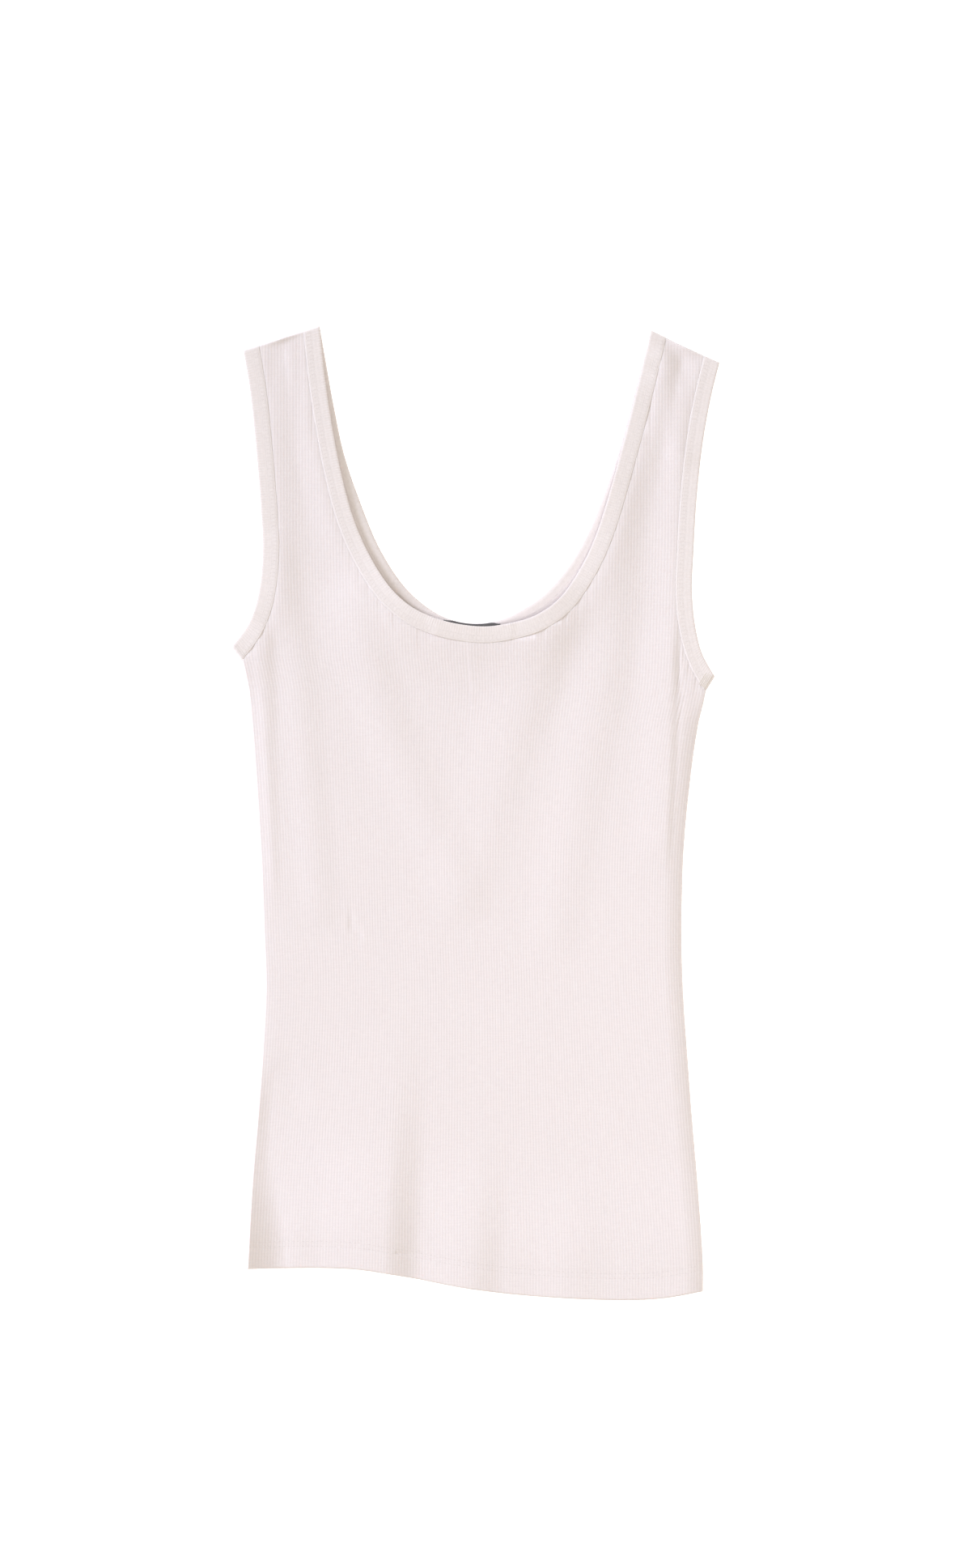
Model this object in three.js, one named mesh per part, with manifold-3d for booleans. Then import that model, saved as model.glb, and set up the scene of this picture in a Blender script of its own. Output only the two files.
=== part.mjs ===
// A ribbed scoop-neck tank top, laid out flat on a surface with its front panel up.
// Millimetres. +X is the viewer's right, +Y runs from the hem to the straps, +Z points up from the surface.
// The back panel lies flat on the surface, the front panel lies on it, and three bindings fold round
// the neck and the armholes from the front layer to the back layer.
import * as THREE from "three";
import { mergeVertices } from "three/addons/utils/BufferGeometryUtils.js";
import Module from "manifold-3d";

// Cloth
const CLOTH = 1.2; // one layer of rib knit
const RIB_RISE = 0.45; // how far a rib stands over the groove beside it
const RIB_COUNT = 156; // ribs across the front, counted along the hem and the waist
const SEAM_GAP = 0.3;
const HEM_DEPTH = 17.5; // turned up and stitched
const HEM_STEP = 1.0; // the turned-up layer adds this to the wall

// Bindings
const BINDING_WIDTH = 10.5;
const BINDING_THICKNESS = 2.2;
const BINDING_ROUND = 0.7; // how far the folded edge rounds over
const BACK_BINDING_TOP = BINDING_THICKNESS;
const FRONT_BINDING_BOTTOM = BACK_BINDING_TOP + SEAM_GAP;
const FOLD_INNER = SEAM_GAP / 2;
const FOLD_OUTER = FOLD_INNER + BINDING_THICKNESS;
const FOLD_AXIS_Z = BACK_BINDING_TOP + FOLD_INNER;

// How the front layer lies
const FRONT_BASE = CLOTH + SEAM_GAP; // underside of the front where it touches the back
const PUFF = 0.8; // air held under the front away from the side seams
const PUFF_REACH = 8;
const BINDING_LIFT = 1.5; // the front rises to meet the middle of its bindings
const LIFT_REACH = 12;
const HEM_LIFT = 2 * HEM_STEP;
const HEM_SLOPE = 26; // length over which the front comes down from the hem
const TALLEST_AIR = 3.8; // most air under a flute
const TOP_FADE = 9; // flutes and lift die out over this length at the shoulder fold
const TOP_TRIM = 0.5; // the panels stop this far inside the shoulder fold

// Neck label, sewn inside the back neck
const LABEL_LEFT = -20.5;
const LABEL_RIGHT = 16.5;
const LABEL_DEPTH = 11.5;
const LABEL_THICKNESS = 1.0;
const LABEL_INSET = 0.4;
const LABEL_EASE = 5; // length over which the binding climbs onto the label

// Reads a table's rows as objects with named columns.
const table = (names, rows) => rows.map((row) => Object.fromEntries(names.map((n, i) => [n, row[i]])));

// Corners of the outline, as [x, y]: both ends of each shoulder fold, the tips of the armhole bindings,
// and where each armhole's seam meets the side seam
const NECK_LEFT = [-99, 309.5];
const NECK_RIGHT = [111.5, 306];
const SHOULDER_LEFT = [-147.5, 294];
const SHOULDER_RIGHT = [155, 285.5];
const TIP_LEFT = [-155, 104.5];
const TIP_RIGHT = [152, 86];
const UNDERARM_LEFT = [-148.5, 96];
const UNDERARM_RIGHT = [146.5, 77];

// The sides are the side seams up to the underarms; over them they are the lines that the ribs follow.
const SIDE_LEFT = table(["y", "x"], [
  [-290, -145], [-234, -142], [-193, -138.5], [-152, -135.5], [-111, -133.5], [-80, -134.5],
  [-29, -136.5], [12, -139], [53, -142], [82, -145], [96, -148.5], [120, -150.5], [175, -152.5],
]);
const SIDE_RIGHT = table(["y", "x"], [
  [-304, 144.5], [-286, 144.5], [-234, 141], [-193, 137.5], [-152, 134.5], [-116, 132],
  [-80, 131], [-29, 132], [12, 135.5], [53, 141], [77, 146.5], [100, 149], [175, 152],
]);
const HEM = table(["x", "y"], [
  [-145, -289.5], [-81, -289.5], [-43, -295], [-6, -302], [31, -306.5], [86.5, -309.5], [117.5, -308.5],
  [144.5, -304],
]);
const FRONT_NECK = table(["x", "y"], [
  NECK_LEFT, [-95.5, 276], [-90, 240], [-84.5, 212.5], [-77, 185.5], [-66, 161], [-53, 141.5],
  [-39, 129.5], [-21.5, 122], [-4, 118.5], [8, 118], [19, 119.5], [37, 124.5], [52.5, 135], [65.5, 153],
  [76.5, 176], [93.5, 233], [107, 287], NECK_RIGHT,
]);
const BACK_NECK = table(["x", "y"], [
  NECK_LEFT, [-94.5, 283.5], [-90, 258.5], [-83.5, 228], [-73.5, 198], [-60, 166], [-43, 141],
  [-25.5, 127], [-12, 121.5], [1.5, 120], [12.5, 121.5], [27, 127.5], [43.5, 138.5], [60.5, 158.5],
  [73, 181.5], [83.5, 208.5], [94.5, 243], [102.5, 274], NECK_RIGHT,
]);
const ARMHOLE_LEFT = table(["x", "y"], [
  SHOULDER_LEFT, [-143, 266.5], [-139, 228], [-136, 189.5], [-135, 166], [-137, 143], [-140.5, 128],
  [-145.5, 117], TIP_LEFT,
]);
const ARMHOLE_RIGHT = table(["x", "y"], [
  SHOULDER_RIGHT, [150, 265.5], [144.5, 235.5], [140.5, 199.5], [138.5, 166], [137.5, 140.5],
  [139.5, 118.5], [144, 100.5], TIP_RIGHT,
]);
const SHOULDERS = table(["x", "y"], [[-160, 290], SHOULDER_LEFT, NECK_LEFT, NECK_RIGHT, SHOULDER_RIGHT]);

// Flutes of the front layer: a crest line from a through b to c, its height at a and at c, and how far
// it falls away to the viewer's left and right. A negative height is a groove.
const FLUTES = table(["ax", "ay", "bx", "by", "cx", "cy", "ha", "hc", "left", "right"], [
  [-56, -302, -53, -240, -46, -160, 3.0, 0.0, 38, 24], // hem, under the left of the neck
  [-3, -304, 0, -262, 7, -205, 2.0, 0.0, 24, 26], // hem, middle
  [58, -310, 62, -270, 66, -215, 1.4, 0.0, 28, 28], // hem, right of the middle
  [-137, -292, -134, -240, -132, -195, 2.4, 0.0, 9, 24], // hem, left corner
  [-77, 118, -50, 40, -8, -50, 1.6, 0.2, 30, 20], // from the neck's left, converging
  [47, 114, 22, 45, 0, -48, 1.6, 0.2, 22, 20], // from the neck's right, converging
  [108, 240, 84, 110, 54, -78, 2.0, 0.3, 26, 22], // right strap to the waist
  [-122, 244, -104, 110, -96, -60, 1.1, 0.3, 18, 26], // left strap to the waist
  [121, 292, 125, 262, 130, 225, 1.7, 0.2, 10, 12], // across the right strap's top
  [-135, 112, -134, 60, -134, -8, 1.7, 0.3, 8, 6], // along the left side seam
  [129, 116, 129, 60, 128, -10, -1.4, -0.2, 7, 6], // groove along the right side seam
]);

// Where the front panel has a row of points: over the hem, at a level, or under the shoulder line.
const OUTER_OVER_HEM = [0, HEM_DEPTH, HEM_DEPTH + 14];
const INNER_OVER_HEM = [0, HEM_DEPTH - 0.4, HEM_DEPTH + 0.4];
const ROW_LEVELS = [-225, -165, -110, -50, 10, 56, 88, 112, 136, 175, 218];
const ROWS_UNDER_TOP = [38, 12, 2, -4];
const PLAIN_EVERY = 4; // the plain inner face has one column of points for so many outer ones

const COLOURS = { cloth: 0xf3e9e8, binding: 0xf4ebe7, label: 0x55504f };

const clamp01 = (t) => Math.min(1, Math.max(0, t));
const smooth = (t) => clamp01(t) ** 2 * (3 - 2 * clamp01(t));
const bell = (t) => (Math.abs(t) < 1 ? Math.cos((t * Math.PI) / 2) ** 2 : 0);

// A smooth line through the rows of a table, as count + 1 points evenly spaced along it.
function smoothLine(rows, count) {
  const places = rows.map((r) => new THREE.Vector3(r.x, r.y, 0));
  const curve = new THREE.CatmullRomCurve3(places, false, "centripetal");
  curve.arcLengthDivisions = 800;
  return curve.getSpacedPoints(count).map((p) => new THREE.Vector2(p.x, p.y));
}

// Reads one column of a table at a value of another, smoothly, and holds the end values outside it.
function readTable(rows, key, value, at) {
  const last = rows.length - 1;
  if (at <= rows[0][key]) return rows[0][value];
  if (at >= rows[last][key]) return rows[last][value];
  const i = rows.findIndex((r) => r[key] > at) - 1;
  const [a, b] = [rows[i], rows[i + 1]];
  const [before, after] = [rows[Math.max(i - 1, 0)], rows[Math.min(i + 2, last)]];
  const slopeA = (b[value] - before[value]) / (b[key] - before[key]);
  const slopeB = (after[value] - a[value]) / (after[key] - a[key]);
  const width = b[key] - a[key];
  const t = (at - a[key]) / width;
  return (
    a[value] * (1 + 2 * t) * (1 - t) ** 2 +
    b[value] * t * t * (3 - 2 * t) +
    width * (slopeA * t * (1 - t) ** 2 - slopeB * t * t * (1 - t))
  );
}

const sideLeft = (y) => readTable(SIDE_LEFT, "y", "x", y);
const sideRight = (y) => readTable(SIDE_RIGHT, "y", "x", y);
const hemLine = (x) => readTable(HEM, "x", "y", x);
const shoulderLine = (x) => {
  const i = Math.max(1, SHOULDERS.findIndex((p) => p.x >= x));
  const [a, b] = [SHOULDERS[i - 1], SHOULDERS[i]];
  return a.y + ((x - a.x) / (b.x - a.x)) * (b.y - a.y);
};

// The place on a strap's top edge, or on the underarm's side edge, where a binding's end lies.
class FoldLine {
  // edge is the binding's free corner, seam its sewn corner, and outside a point beyond the cloth.
  constructor(edge, seam, outside) {
    this.edge = new THREE.Vector2(...edge);
    this.along = new THREE.Vector2(...seam).sub(this.edge).normalize();
    this.out = new THREE.Vector2(-this.along.y, this.along.x);
    if (this.out.dot(new THREE.Vector2(...outside).sub(this.edge)) < 0) this.out.negate();
  }
  // How far a point lies inside the line.
  inside(p) {
    return -this.out.dot(p.clone().sub(this.edge));
  }
}

const shoulderLeft = new FoldLine(NECK_LEFT, SHOULDER_LEFT, [-125, 400]);
const shoulderRight = new FoldLine(NECK_RIGHT, SHOULDER_RIGHT, [135, 400]);
const shoulderLeftOuter = new FoldLine(SHOULDER_LEFT, NECK_LEFT, [-125, 400]);
const shoulderRightOuter = new FoldLine(SHOULDER_RIGHT, NECK_RIGHT, [135, 400]);
const underarmLeft = new FoldLine(TIP_LEFT, UNDERARM_LEFT, [-200, 60]);
const underarmRight = new FoldLine(TIP_RIGHT, UNDERARM_RIGHT, [200, 40]);

// The two edges of a binding in plan: its free edge, and its seam at the given distance into the cloth.
// turn is +1 where the cloth is on the left of the direction of travel. inset shortens both ends.
function bindingEdges(rows, count, distance, turn, startFold, endFold, inset) {
  const edge = smoothLine(rows, count);
  const seam = edge.map((p, i) => {
    const t = edge[Math.min(i + 1, count)].clone().sub(edge[Math.max(i - 1, 0)]).normalize();
    return new THREE.Vector2(-t.y, t.x).multiplyScalar(turn * distance).add(p);
  });
  const skew = Math.ceil(count / 6); // stations over which an end turns to lie along its fold
  for (const [fold, at, step] of [[startFold, 0, 1], [endFold, count, -1]]) {
    const normal = seam[at].clone().sub(edge[at]).normalize();
    const reach = distance / Math.abs(normal.dot(fold.along));
    const shift = fold.edge.clone().addScaledVector(fold.along, reach).sub(seam[at]);
    for (let k = 0; k < skew; k++) seam[at + step * k].addScaledVector(shift, 1 - smooth(k / skew));
    for (const line of [edge, seam]) {
      const next = line[at + step];
      line[at].lerp(next, (inset - fold.inside(line[at])) / (fold.inside(next) - fold.inside(line[at])));
    }
  }
  return { edge, seam, turn };
}

const NECK_STATIONS = 56;
const ARMHOLE_STATIONS = 26;
const bindings = (inset, distance = BINDING_WIDTH) => ({
  frontNeck: bindingEdges(FRONT_NECK, NECK_STATIONS, distance, -1, shoulderLeft, shoulderRight, inset),
  backNeck: bindingEdges(BACK_NECK, NECK_STATIONS, distance, -1, shoulderLeft, shoulderRight, inset),
  armholeLeft: bindingEdges(
    ARMHOLE_LEFT, ARMHOLE_STATIONS, distance, 1, shoulderLeftOuter, underarmLeft, inset),
  armholeRight: bindingEdges(
    ARMHOLE_RIGHT, ARMHOLE_STATIONS, distance, -1, shoulderRightOuter, underarmRight, inset),
});
const seams = bindings(0);

function distanceToLine(p, line) {
  let best = Infinity;
  for (let i = 0; i + 1 < line.length; i++) {
    const along = line[i + 1].clone().sub(line[i]);
    const t = clamp01(p.clone().sub(line[i]).dot(along) / along.lengthSq());
    best = Math.min(best, p.distanceTo(line[i].clone().addScaledVector(along, t)));
  }
  return best;
}

// Height of one flute at a point: a bell across its crest line, fading past the line's two ends.
function fluteHeight(f, x, y) {
  const legs = [[f.ax, f.ay, f.bx, f.by], [f.bx, f.by, f.cx, f.cy]];
  const lengths = legs.map(([px, py, qx, qy]) => Math.hypot(qx - px, qy - py));
  const total = lengths[0] + lengths[1];
  let best = { across: Infinity, share: 0 };
  legs.forEach(([px, py, qx, qy], i) => {
    const [dx, dy] = [(qx - px) / lengths[i], (qy - py) / lengths[i]];
    const run = (x - px) * dx + (y - py) * dy;
    const held = Math.min(lengths[i], Math.max(0, run));
    const gap = Math.hypot(x - px - held * dx, y - py - held * dy);
    if (gap < Math.abs(best.across)) {
      const side = Math.sign((x - px) * Math.abs(dy) - (y - py) * dx * Math.sign(dy));
      best = { across: side * gap, share: (held + (i ? lengths[0] : 0)) / total };
    }
  });
  const height = f.ha + (f.hc - f.ha) * smooth(best.share);
  return height * bell(best.across / (best.across < 0 ? f.left : f.right));
}
const flutes = (x, y) => FLUTES.reduce((sum, f) => sum + fluteHeight(f, x, y), 0);

// How much the shoulder fold lets the front layer rise.
function shoulderEase(p) {
  const inside = Math.min(
    p.x < 0 ? shoulderLeft.inside(p) : Infinity,
    p.x > 0 ? shoulderRight.inside(p) : Infinity,
  );
  return smooth((inside - FOLD_OUTER) / TOP_FADE);
}

// The front binding climbs onto the label at the middle of the neck.
function labelLift(x) {
  const outside = Math.max(LABEL_LEFT - x, x - LABEL_RIGHT, 0);
  return (LABEL_THICKNESS + SEAM_GAP) * (1 - smooth((outside - LABEL_EASE) / LABEL_EASE));
}

const FRONT_SEAMS = [seams.frontNeck.seam, seams.armholeLeft.seam, seams.armholeRight.seam];

// Height of the front cloth's underside over the surface, away from the turned-up hem.
function frontUnderside(x, y) {
  const p = new THREE.Vector2(x, y);
  const near = FRONT_SEAMS.map((line) => Math.exp(-((distanceToLine(p, line) / LIFT_REACH) ** 2)));
  const lift = Math.max(...near);
  const side = Math.max(0, Math.min(x - sideLeft(y), sideRight(y) - x));
  const puff = PUFF * (1 - Math.exp(-side / PUFF_REACH)) * (1 - lift);
  const air = Math.min(TALLEST_AIR, Math.max(0, puff + flutes(x, y) * smooth(side / PUFF_REACH)));
  const overHem = y - hemLine(x) - HEM_DEPTH;
  const hem = HEM_LIFT * (1 - smooth(overHem / HEM_SLOPE));
  const label = labelLift(x) * near[0];
  return FRONT_BASE + hem + (BINDING_LIFT * lift + air + label) * shoulderEase(p);
}

// Height of the front binding's underside.
const frontBindingBottom = (p, isNeck) =>
  FRONT_BINDING_BOTTOM +
  (Math.max(0, flutes(p.x, p.y)) + (isNeck ? labelLift(p.x) : 0)) * shoulderEase(p) * smooth(sideRoom(p));
const sideRoom = (p) => Math.max(0, Math.min(p.x - sideLeft(p.y), sideRight(p.y) - p.x)) / PUFF_REACH;

const wasm = await Module();
wasm.setup();

// A closed geometry as a solid that can be cut and joined, and back.
function toSolid(geometry) {
  const bare = new THREE.BufferGeometry();
  bare.setAttribute("position", geometry.getAttribute("position"));
  if (geometry.index) bare.setIndex(geometry.index);
  const merged = mergeVertices(bare, 1e-4);
  return new wasm.Manifold(
    new wasm.Mesh({
      numProp: 3,
      vertProperties: new Float32Array(merged.attributes.position.array),
      triVerts: new Uint32Array(merged.index.array),
    }),
  );
}
function fromSolid(solid) {
  const mesh = solid.getMesh();
  const geometry = new THREE.BufferGeometry();
  geometry.setAttribute("position", new THREE.BufferAttribute(mesh.vertProperties, 3));
  geometry.setIndex(new THREE.BufferAttribute(mesh.triVerts, 1));
  geometry.computeVertexNormals();
  return geometry;
}

// A geometry from a list of points and a list of point numbers, three to a face.
function fromFaces(points, faces) {
  const geometry = new THREE.BufferGeometry();
  geometry.setAttribute("position", new THREE.BufferAttribute(new Float32Array(points.flat()), 3));
  geometry.setIndex(faces);
  geometry.computeVertexNormals();
  return geometry;
}

// Joins two rows of points, given as lists of point numbers with their places 0 to 1 along the row.
function zipRows(lower, upper, faces) {
  let [i, j] = [0, 0];
  while (i + 1 < lower.length || j + 1 < upper.length) {
    const upperDone = j + 1 >= upper.length;
    const stepLower = upperDone || (i + 1 < lower.length && lower[i + 1].at <= upper[j + 1].at);
    if (stepLower) faces.push(lower[i].id, lower[i + 1].id, upper[j].id);
    else faces.push(lower[i].id, upper[j + 1].id, upper[j].id);
    if (stepLower) i++;
    else j++;
  }
}

// The outline of a panel above its side seams: armholes, shoulders and neck, less a gap.
// Its sides and foot run well outside the cloth, which ends there by itself.
function upperOutline(neck) {
  const cut = bindings(TOP_TRIM, BINDING_WIDTH + SEAM_GAP);
  const reach = 30;
  const [far, foot] = [200, -330];
  const left = cut.armholeLeft.seam;
  const right = cut.armholeRight.seam;
  const runOut = (line) => line.at(-1).clone().sub(line.at(-2)).setLength(reach).add(line.at(-1));
  const [leftEnd, rightEnd] = [runOut(left), runOut(right)];
  const corner = (x, y) => new THREE.Vector2(x, y);
  return [
    corner(-far, foot), corner(far, foot), corner(far, rightEnd.y), rightEnd,
    ...[...right].reverse(), ...[...cut[neck].seam].reverse(), ...left, leftEnd, corner(-far, leftEnd.y),
  ];
}

function prism(outline, bottom, height) {
  const shape = new THREE.Shape(outline);
  const geometry = new THREE.ExtrudeGeometry(shape, { depth: height, bevelEnabled: false });
  geometry.translate(0, 0, bottom);
  return toSolid(geometry);
}

// The front panel: ribs on its outer face, a plain inner face, and a turned-up hem.
function makeFrontPanel() {
  const columns = 2 * RIB_COUNT;
  const points = [];
  const faces = [];
  const across = (left, right, u) => left.x + u * (right.x - left.x);
  const levelOf = {
    hem: (u, by) => hemLine(across(SIDE_LEFT[0], SIDE_RIGHT[0], u)) + by,
    level: (u, by) => by,
    top: (u, by) => shoulderLine(across(SIDE_LEFT.at(-1), SIDE_RIGHT.at(-1), u)) - by,
  };
  const rowsOf = (overHem) => [
    ...overHem.map((by) => ["hem", by]),
    ...ROW_LEVELS.map((by) => ["level", by]),
    ...ROWS_UNDER_TOP.map((by) => ["top", by]),
  ];
  // One face of the wall, as rows of points; rise gives a point's height over the cloth's underside.
  const face = (overHem, every, rise) =>
    rowsOf(overHem).map(([from, by], k) => {
      const row = [];
      for (let c = 0; c <= columns; c += every) {
        const u = c / columns;
        const y = levelOf[from](u, by);
        const x = sideLeft(y) + u * (sideRight(y) - sideLeft(y));
        row.push({ at: u, y, id: points.push([x, y, frontUnderside(x, y) + rise(c, k)]) - 1 });
      }
      return row;
    });
  const outer = face(OUTER_OVER_HEM, 1, (c) => CLOTH + (c % 2 ? RIB_RISE : 0));
  const inner = face(INNER_OVER_HEM, PLAIN_EVERY, (c, k) => (k < 2 ? -HEM_STEP : 0));
  for (let k = 0; k + 1 < outer.length; k++) {
    zipRows(outer[k], outer[k + 1], faces);
    zipRows(inner[k + 1], inner[k], faces);
  }
  zipRows(inner[0], outer[0], faces);
  zipRows(outer.at(-1), inner.at(-1), faces);
  // The two side edges, whose points run up from the hem.
  const edge = (rows, end) => rows.map((row) => ({ at: row.at(end).y, id: row.at(end).id }));
  zipRows(edge(outer, 0), edge(inner, 0), faces);
  zipRows(edge(inner, -1), edge(outer, -1), faces);
  const ribbed = toSolid(fromFaces(points, faces));
  return fromSolid(ribbed.intersect(prism(upperOutline("frontNeck"), -1, 40)));
}

// The back panel: flat underneath, plain inside, with its hem turned up.
function makeBackPanel() {
  const count = 40;
  const overUnderarm = 20;
  const steps = (from, to) => Array.from({ length: count + 1 }, (_, i) => from + (i / count) * (to - from));
  const hemAt = (rise) =>
    steps(SIDE_LEFT[0].x, SIDE_RIGHT[0].x).map((x) => new THREE.Vector2(x, hemLine(x) + rise));
  const sideUp = (side, from, underarm) =>
    steps(from, underarm[1] + overUnderarm).map((y) => new THREE.Vector2(side(y), y)).slice(1);
  const hem = hemAt(0);
  const right = sideUp(sideRight, hem.at(-1).y, UNDERARM_RIGHT);
  const left = sideUp(sideLeft, hem[0].y, UNDERARM_LEFT);
  const overTop = [new THREE.Vector2(160, 330), new THREE.Vector2(-160, 330)];
  const flat = prism([...hem, ...right, ...overTop, ...left.reverse()], 0, CLOTH);
  const turnedUp = prism([...hem, ...hemAt(HEM_DEPTH).reverse()], CLOTH / 2, CLOTH / 2 + HEM_STEP);
  return fromSolid(flat.intersect(prism(upperOutline("backNeck"), -1, 10)).add(turnedUp));
}

// A binding: a strip that follows its front line, folds over at the end, comes back along its back line
// and folds into its own start. Each ring of points goes round the strip's section.
function makeBinding(front, back, startFold, endFold, isNeck) {
  const rings = [];
  // inner, middle and outer are the strip's inner face, mid-thickness and outer face at one station.
  const ring = (inner, middle, outer) => {
    const round = ({ edge, seam }) => edge.clone().lerp(seam, BINDING_ROUND / edge.distanceTo(seam));
    rings.push([
      [...inner.seam, inner.z], [...round(inner), inner.z], [...middle.edge, middle.z],
      [...round(outer), outer.z], [...outer.seam, outer.z],
    ]);
  };
  const levelRing = (edge, seam, innerZ, outerZ) =>
    ring(...[innerZ, (innerZ + outerZ) / 2, outerZ].map((z) => ({ edge, seam, z })));
  // The strip runs on along its own two lines while it turns over.
  const turnOver = (fold, at, inward, degrees) => {
    for (const turn of degrees) {
      const [sine, cosine] = [Math.sin((turn * Math.PI) / 180), Math.cos((turn * Math.PI) / 180)];
      const runOn = (line, reach) => {
        const along = line.at(at).clone().sub(line.at(inward)).normalize();
        return line.at(at).clone().addScaledVector(along, reach / along.dot(fold.out));
      };
      const between = (side, reach) => runOn(front[side], reach).lerp(runOn(back[side], reach), turn / 180);
      const face = (r) => ({
        edge: between("edge", sine * r),
        seam: between("seam", sine * r),
        z: FOLD_AXIS_Z + cosine * r,
      });
      ring(face(FOLD_INNER), face((FOLD_INNER + FOLD_OUTER) / 2), face(FOLD_OUTER));
    }
  };
  front.edge.forEach((edge, i) => {
    const seam = front.seam[i];
    const bottom = frontBindingBottom(seam.clone().lerp(edge, 0.5), isNeck);
    levelRing(edge, seam, bottom, bottom + BINDING_THICKNESS);
  });
  turnOver(endFold, -1, -2, [45, 90, 135]);
  for (let i = back.edge.length - 1; i >= 0; i--)
    levelRing(back.edge[i], back.seam[i], BACK_BINDING_TOP, 0);
  turnOver(startFold, 0, 1, [135, 90, 45]);
  const points = rings.flat();
  const faces = [];
  const size = rings[0].length;
  for (let r = 0; r < rings.length; r++) {
    const next = ((r + 1) % rings.length) * size;
    for (let s = 0; s < size; s++) {
      const [a, b] = [r * size + s, r * size + ((s + 1) % size)];
      const [c, d] = [next + s, next + ((s + 1) % size)];
      if (front.turn < 0) faces.push(a, b, d, a, d, c);
      else faces.push(a, d, b, a, c, d);
    }
  }
  return fromFaces(points, faces);
}

// The plain label inside the back neck, whose top edge follows the neck's curve.
function makeLabel() {
  const top = smoothLine(BACK_NECK, 160)
    .filter((p) => p.x >= LABEL_LEFT && p.x <= LABEL_RIGHT && p.y < 140)
    .map((p) => new THREE.Vector2(p.x, p.y - LABEL_INSET));
  const foot = top.map((p) => new THREE.Vector2(p.x, p.y - LABEL_DEPTH)).reverse();
  return fromSolid(prism([...top, ...foot], BACK_BINDING_TOP + SEAM_GAP, LABEL_THICKNESS));
}

const matte = (color) => new THREE.MeshStandardMaterial({ color, roughness: 0.95, metalness: 0 });
const cloth = matte(COLOURS.cloth);
const bindingCloth = matte(COLOURS.binding);
const labelCloth = matte(COLOURS.label);

const tankTop = new THREE.Group();
function addPiece(name, geometry, material) {
  const mesh = new THREE.Mesh(geometry, material);
  mesh.name = name;
  tankTop.add(mesh);
}

const strips = bindings(FOLD_OUTER);
addPiece("front_panel", makeFrontPanel(), cloth);
addPiece("back_panel", makeBackPanel(), cloth);
addPiece(
  "neck_binding",
  makeBinding(strips.frontNeck, strips.backNeck, shoulderLeft, shoulderRight, true),
  bindingCloth,
);
addPiece(
  "armhole_binding_left",
  makeBinding(strips.armholeLeft, strips.armholeLeft, shoulderLeftOuter, underarmLeft, false),
  bindingCloth,
);
addPiece(
  "armhole_binding_right",
  makeBinding(strips.armholeRight, strips.armholeRight, shoulderRightOuter, underarmRight, false),
  bindingCloth,
);
addPiece("neck_label", makeLabel(), labelCloth);

// The origin is under the middle of the whole garment.
const bounds = new THREE.Box3().setFromObject(tankTop);
const centre = bounds.getCenter(new THREE.Vector3());
tankTop.position.set(-centre.x, -centre.y, -bounds.min.z);

export default tankTop;
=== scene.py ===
"""A ribbed scoop-neck tank top, laid flat on a pale surface with its front up.

The two panels are cut from slabs of rib knit, the neck and armhole bindings are swept round their folded
paths, and the stitching lies on them thread by thread. Patterns are drawn in millimetres, with +X to the
viewer's right, +Y from the hem to the straps and +Z up from the surface, and meshes are made in metres.
"""

from __future__ import annotations

import logging
import math
from dataclasses import dataclass
from enum import Enum
from typing import Callable

import bmesh
import bpy
import numpy as np
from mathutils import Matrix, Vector

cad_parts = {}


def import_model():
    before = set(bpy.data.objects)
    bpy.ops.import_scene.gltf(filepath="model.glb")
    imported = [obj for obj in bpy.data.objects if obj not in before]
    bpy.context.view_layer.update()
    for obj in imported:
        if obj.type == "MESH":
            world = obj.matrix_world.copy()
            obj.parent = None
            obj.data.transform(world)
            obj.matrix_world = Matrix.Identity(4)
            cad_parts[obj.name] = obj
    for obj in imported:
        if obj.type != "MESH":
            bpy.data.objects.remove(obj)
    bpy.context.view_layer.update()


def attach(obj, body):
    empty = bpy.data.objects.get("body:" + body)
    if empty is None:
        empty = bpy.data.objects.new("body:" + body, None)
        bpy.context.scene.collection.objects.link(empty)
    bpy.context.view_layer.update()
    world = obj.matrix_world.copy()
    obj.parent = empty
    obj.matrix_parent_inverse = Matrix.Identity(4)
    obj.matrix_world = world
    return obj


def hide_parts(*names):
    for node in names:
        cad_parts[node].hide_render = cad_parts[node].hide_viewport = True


LOG = logging.getLogger("tank_top")
MM = 0.001  # one millimetre in metres
Array, Mesh, Socket = np.ndarray, bpy.types.Mesh, bpy.types.NodeSocket
Rows = list[tuple[float, ...]]
Place = tuple[float, float]


# Smooth steps, tables and lines


def smooth(t: Array | float) -> Array:
    """Returns an even rise from 0 to 1 while t runs from 0 to 1, level on both sides."""
    t = np.clip(t, 0.0, 1.0)
    return t * t * (3 - 2 * t)


def bell(t: Array) -> Array:
    """Returns a soft bump that is 1 at t = 0 and dies out at t = -1 and t = 1."""
    return np.where(np.abs(t) < 1, np.cos(np.clip(t, -1, 1) * math.pi / 2) ** 2, 0.0)


def rolled(inside: Array, radius: float) -> Array:
    """Returns the share of its height that cloth has at a distance inside a rounded edge.

    Args:
        inside: Distances inside the edge.
        radius: How far the edge's rounding reaches.

    Returns:
        0 at the edge, 1 from the radius inwards, on a quarter of an ellipse between.
    """
    t = np.clip(inside / radius, 0.0, 1.0)
    return np.sqrt(np.clip(1 - (1 - t) ** 2, 0.0, 1.0))


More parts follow.
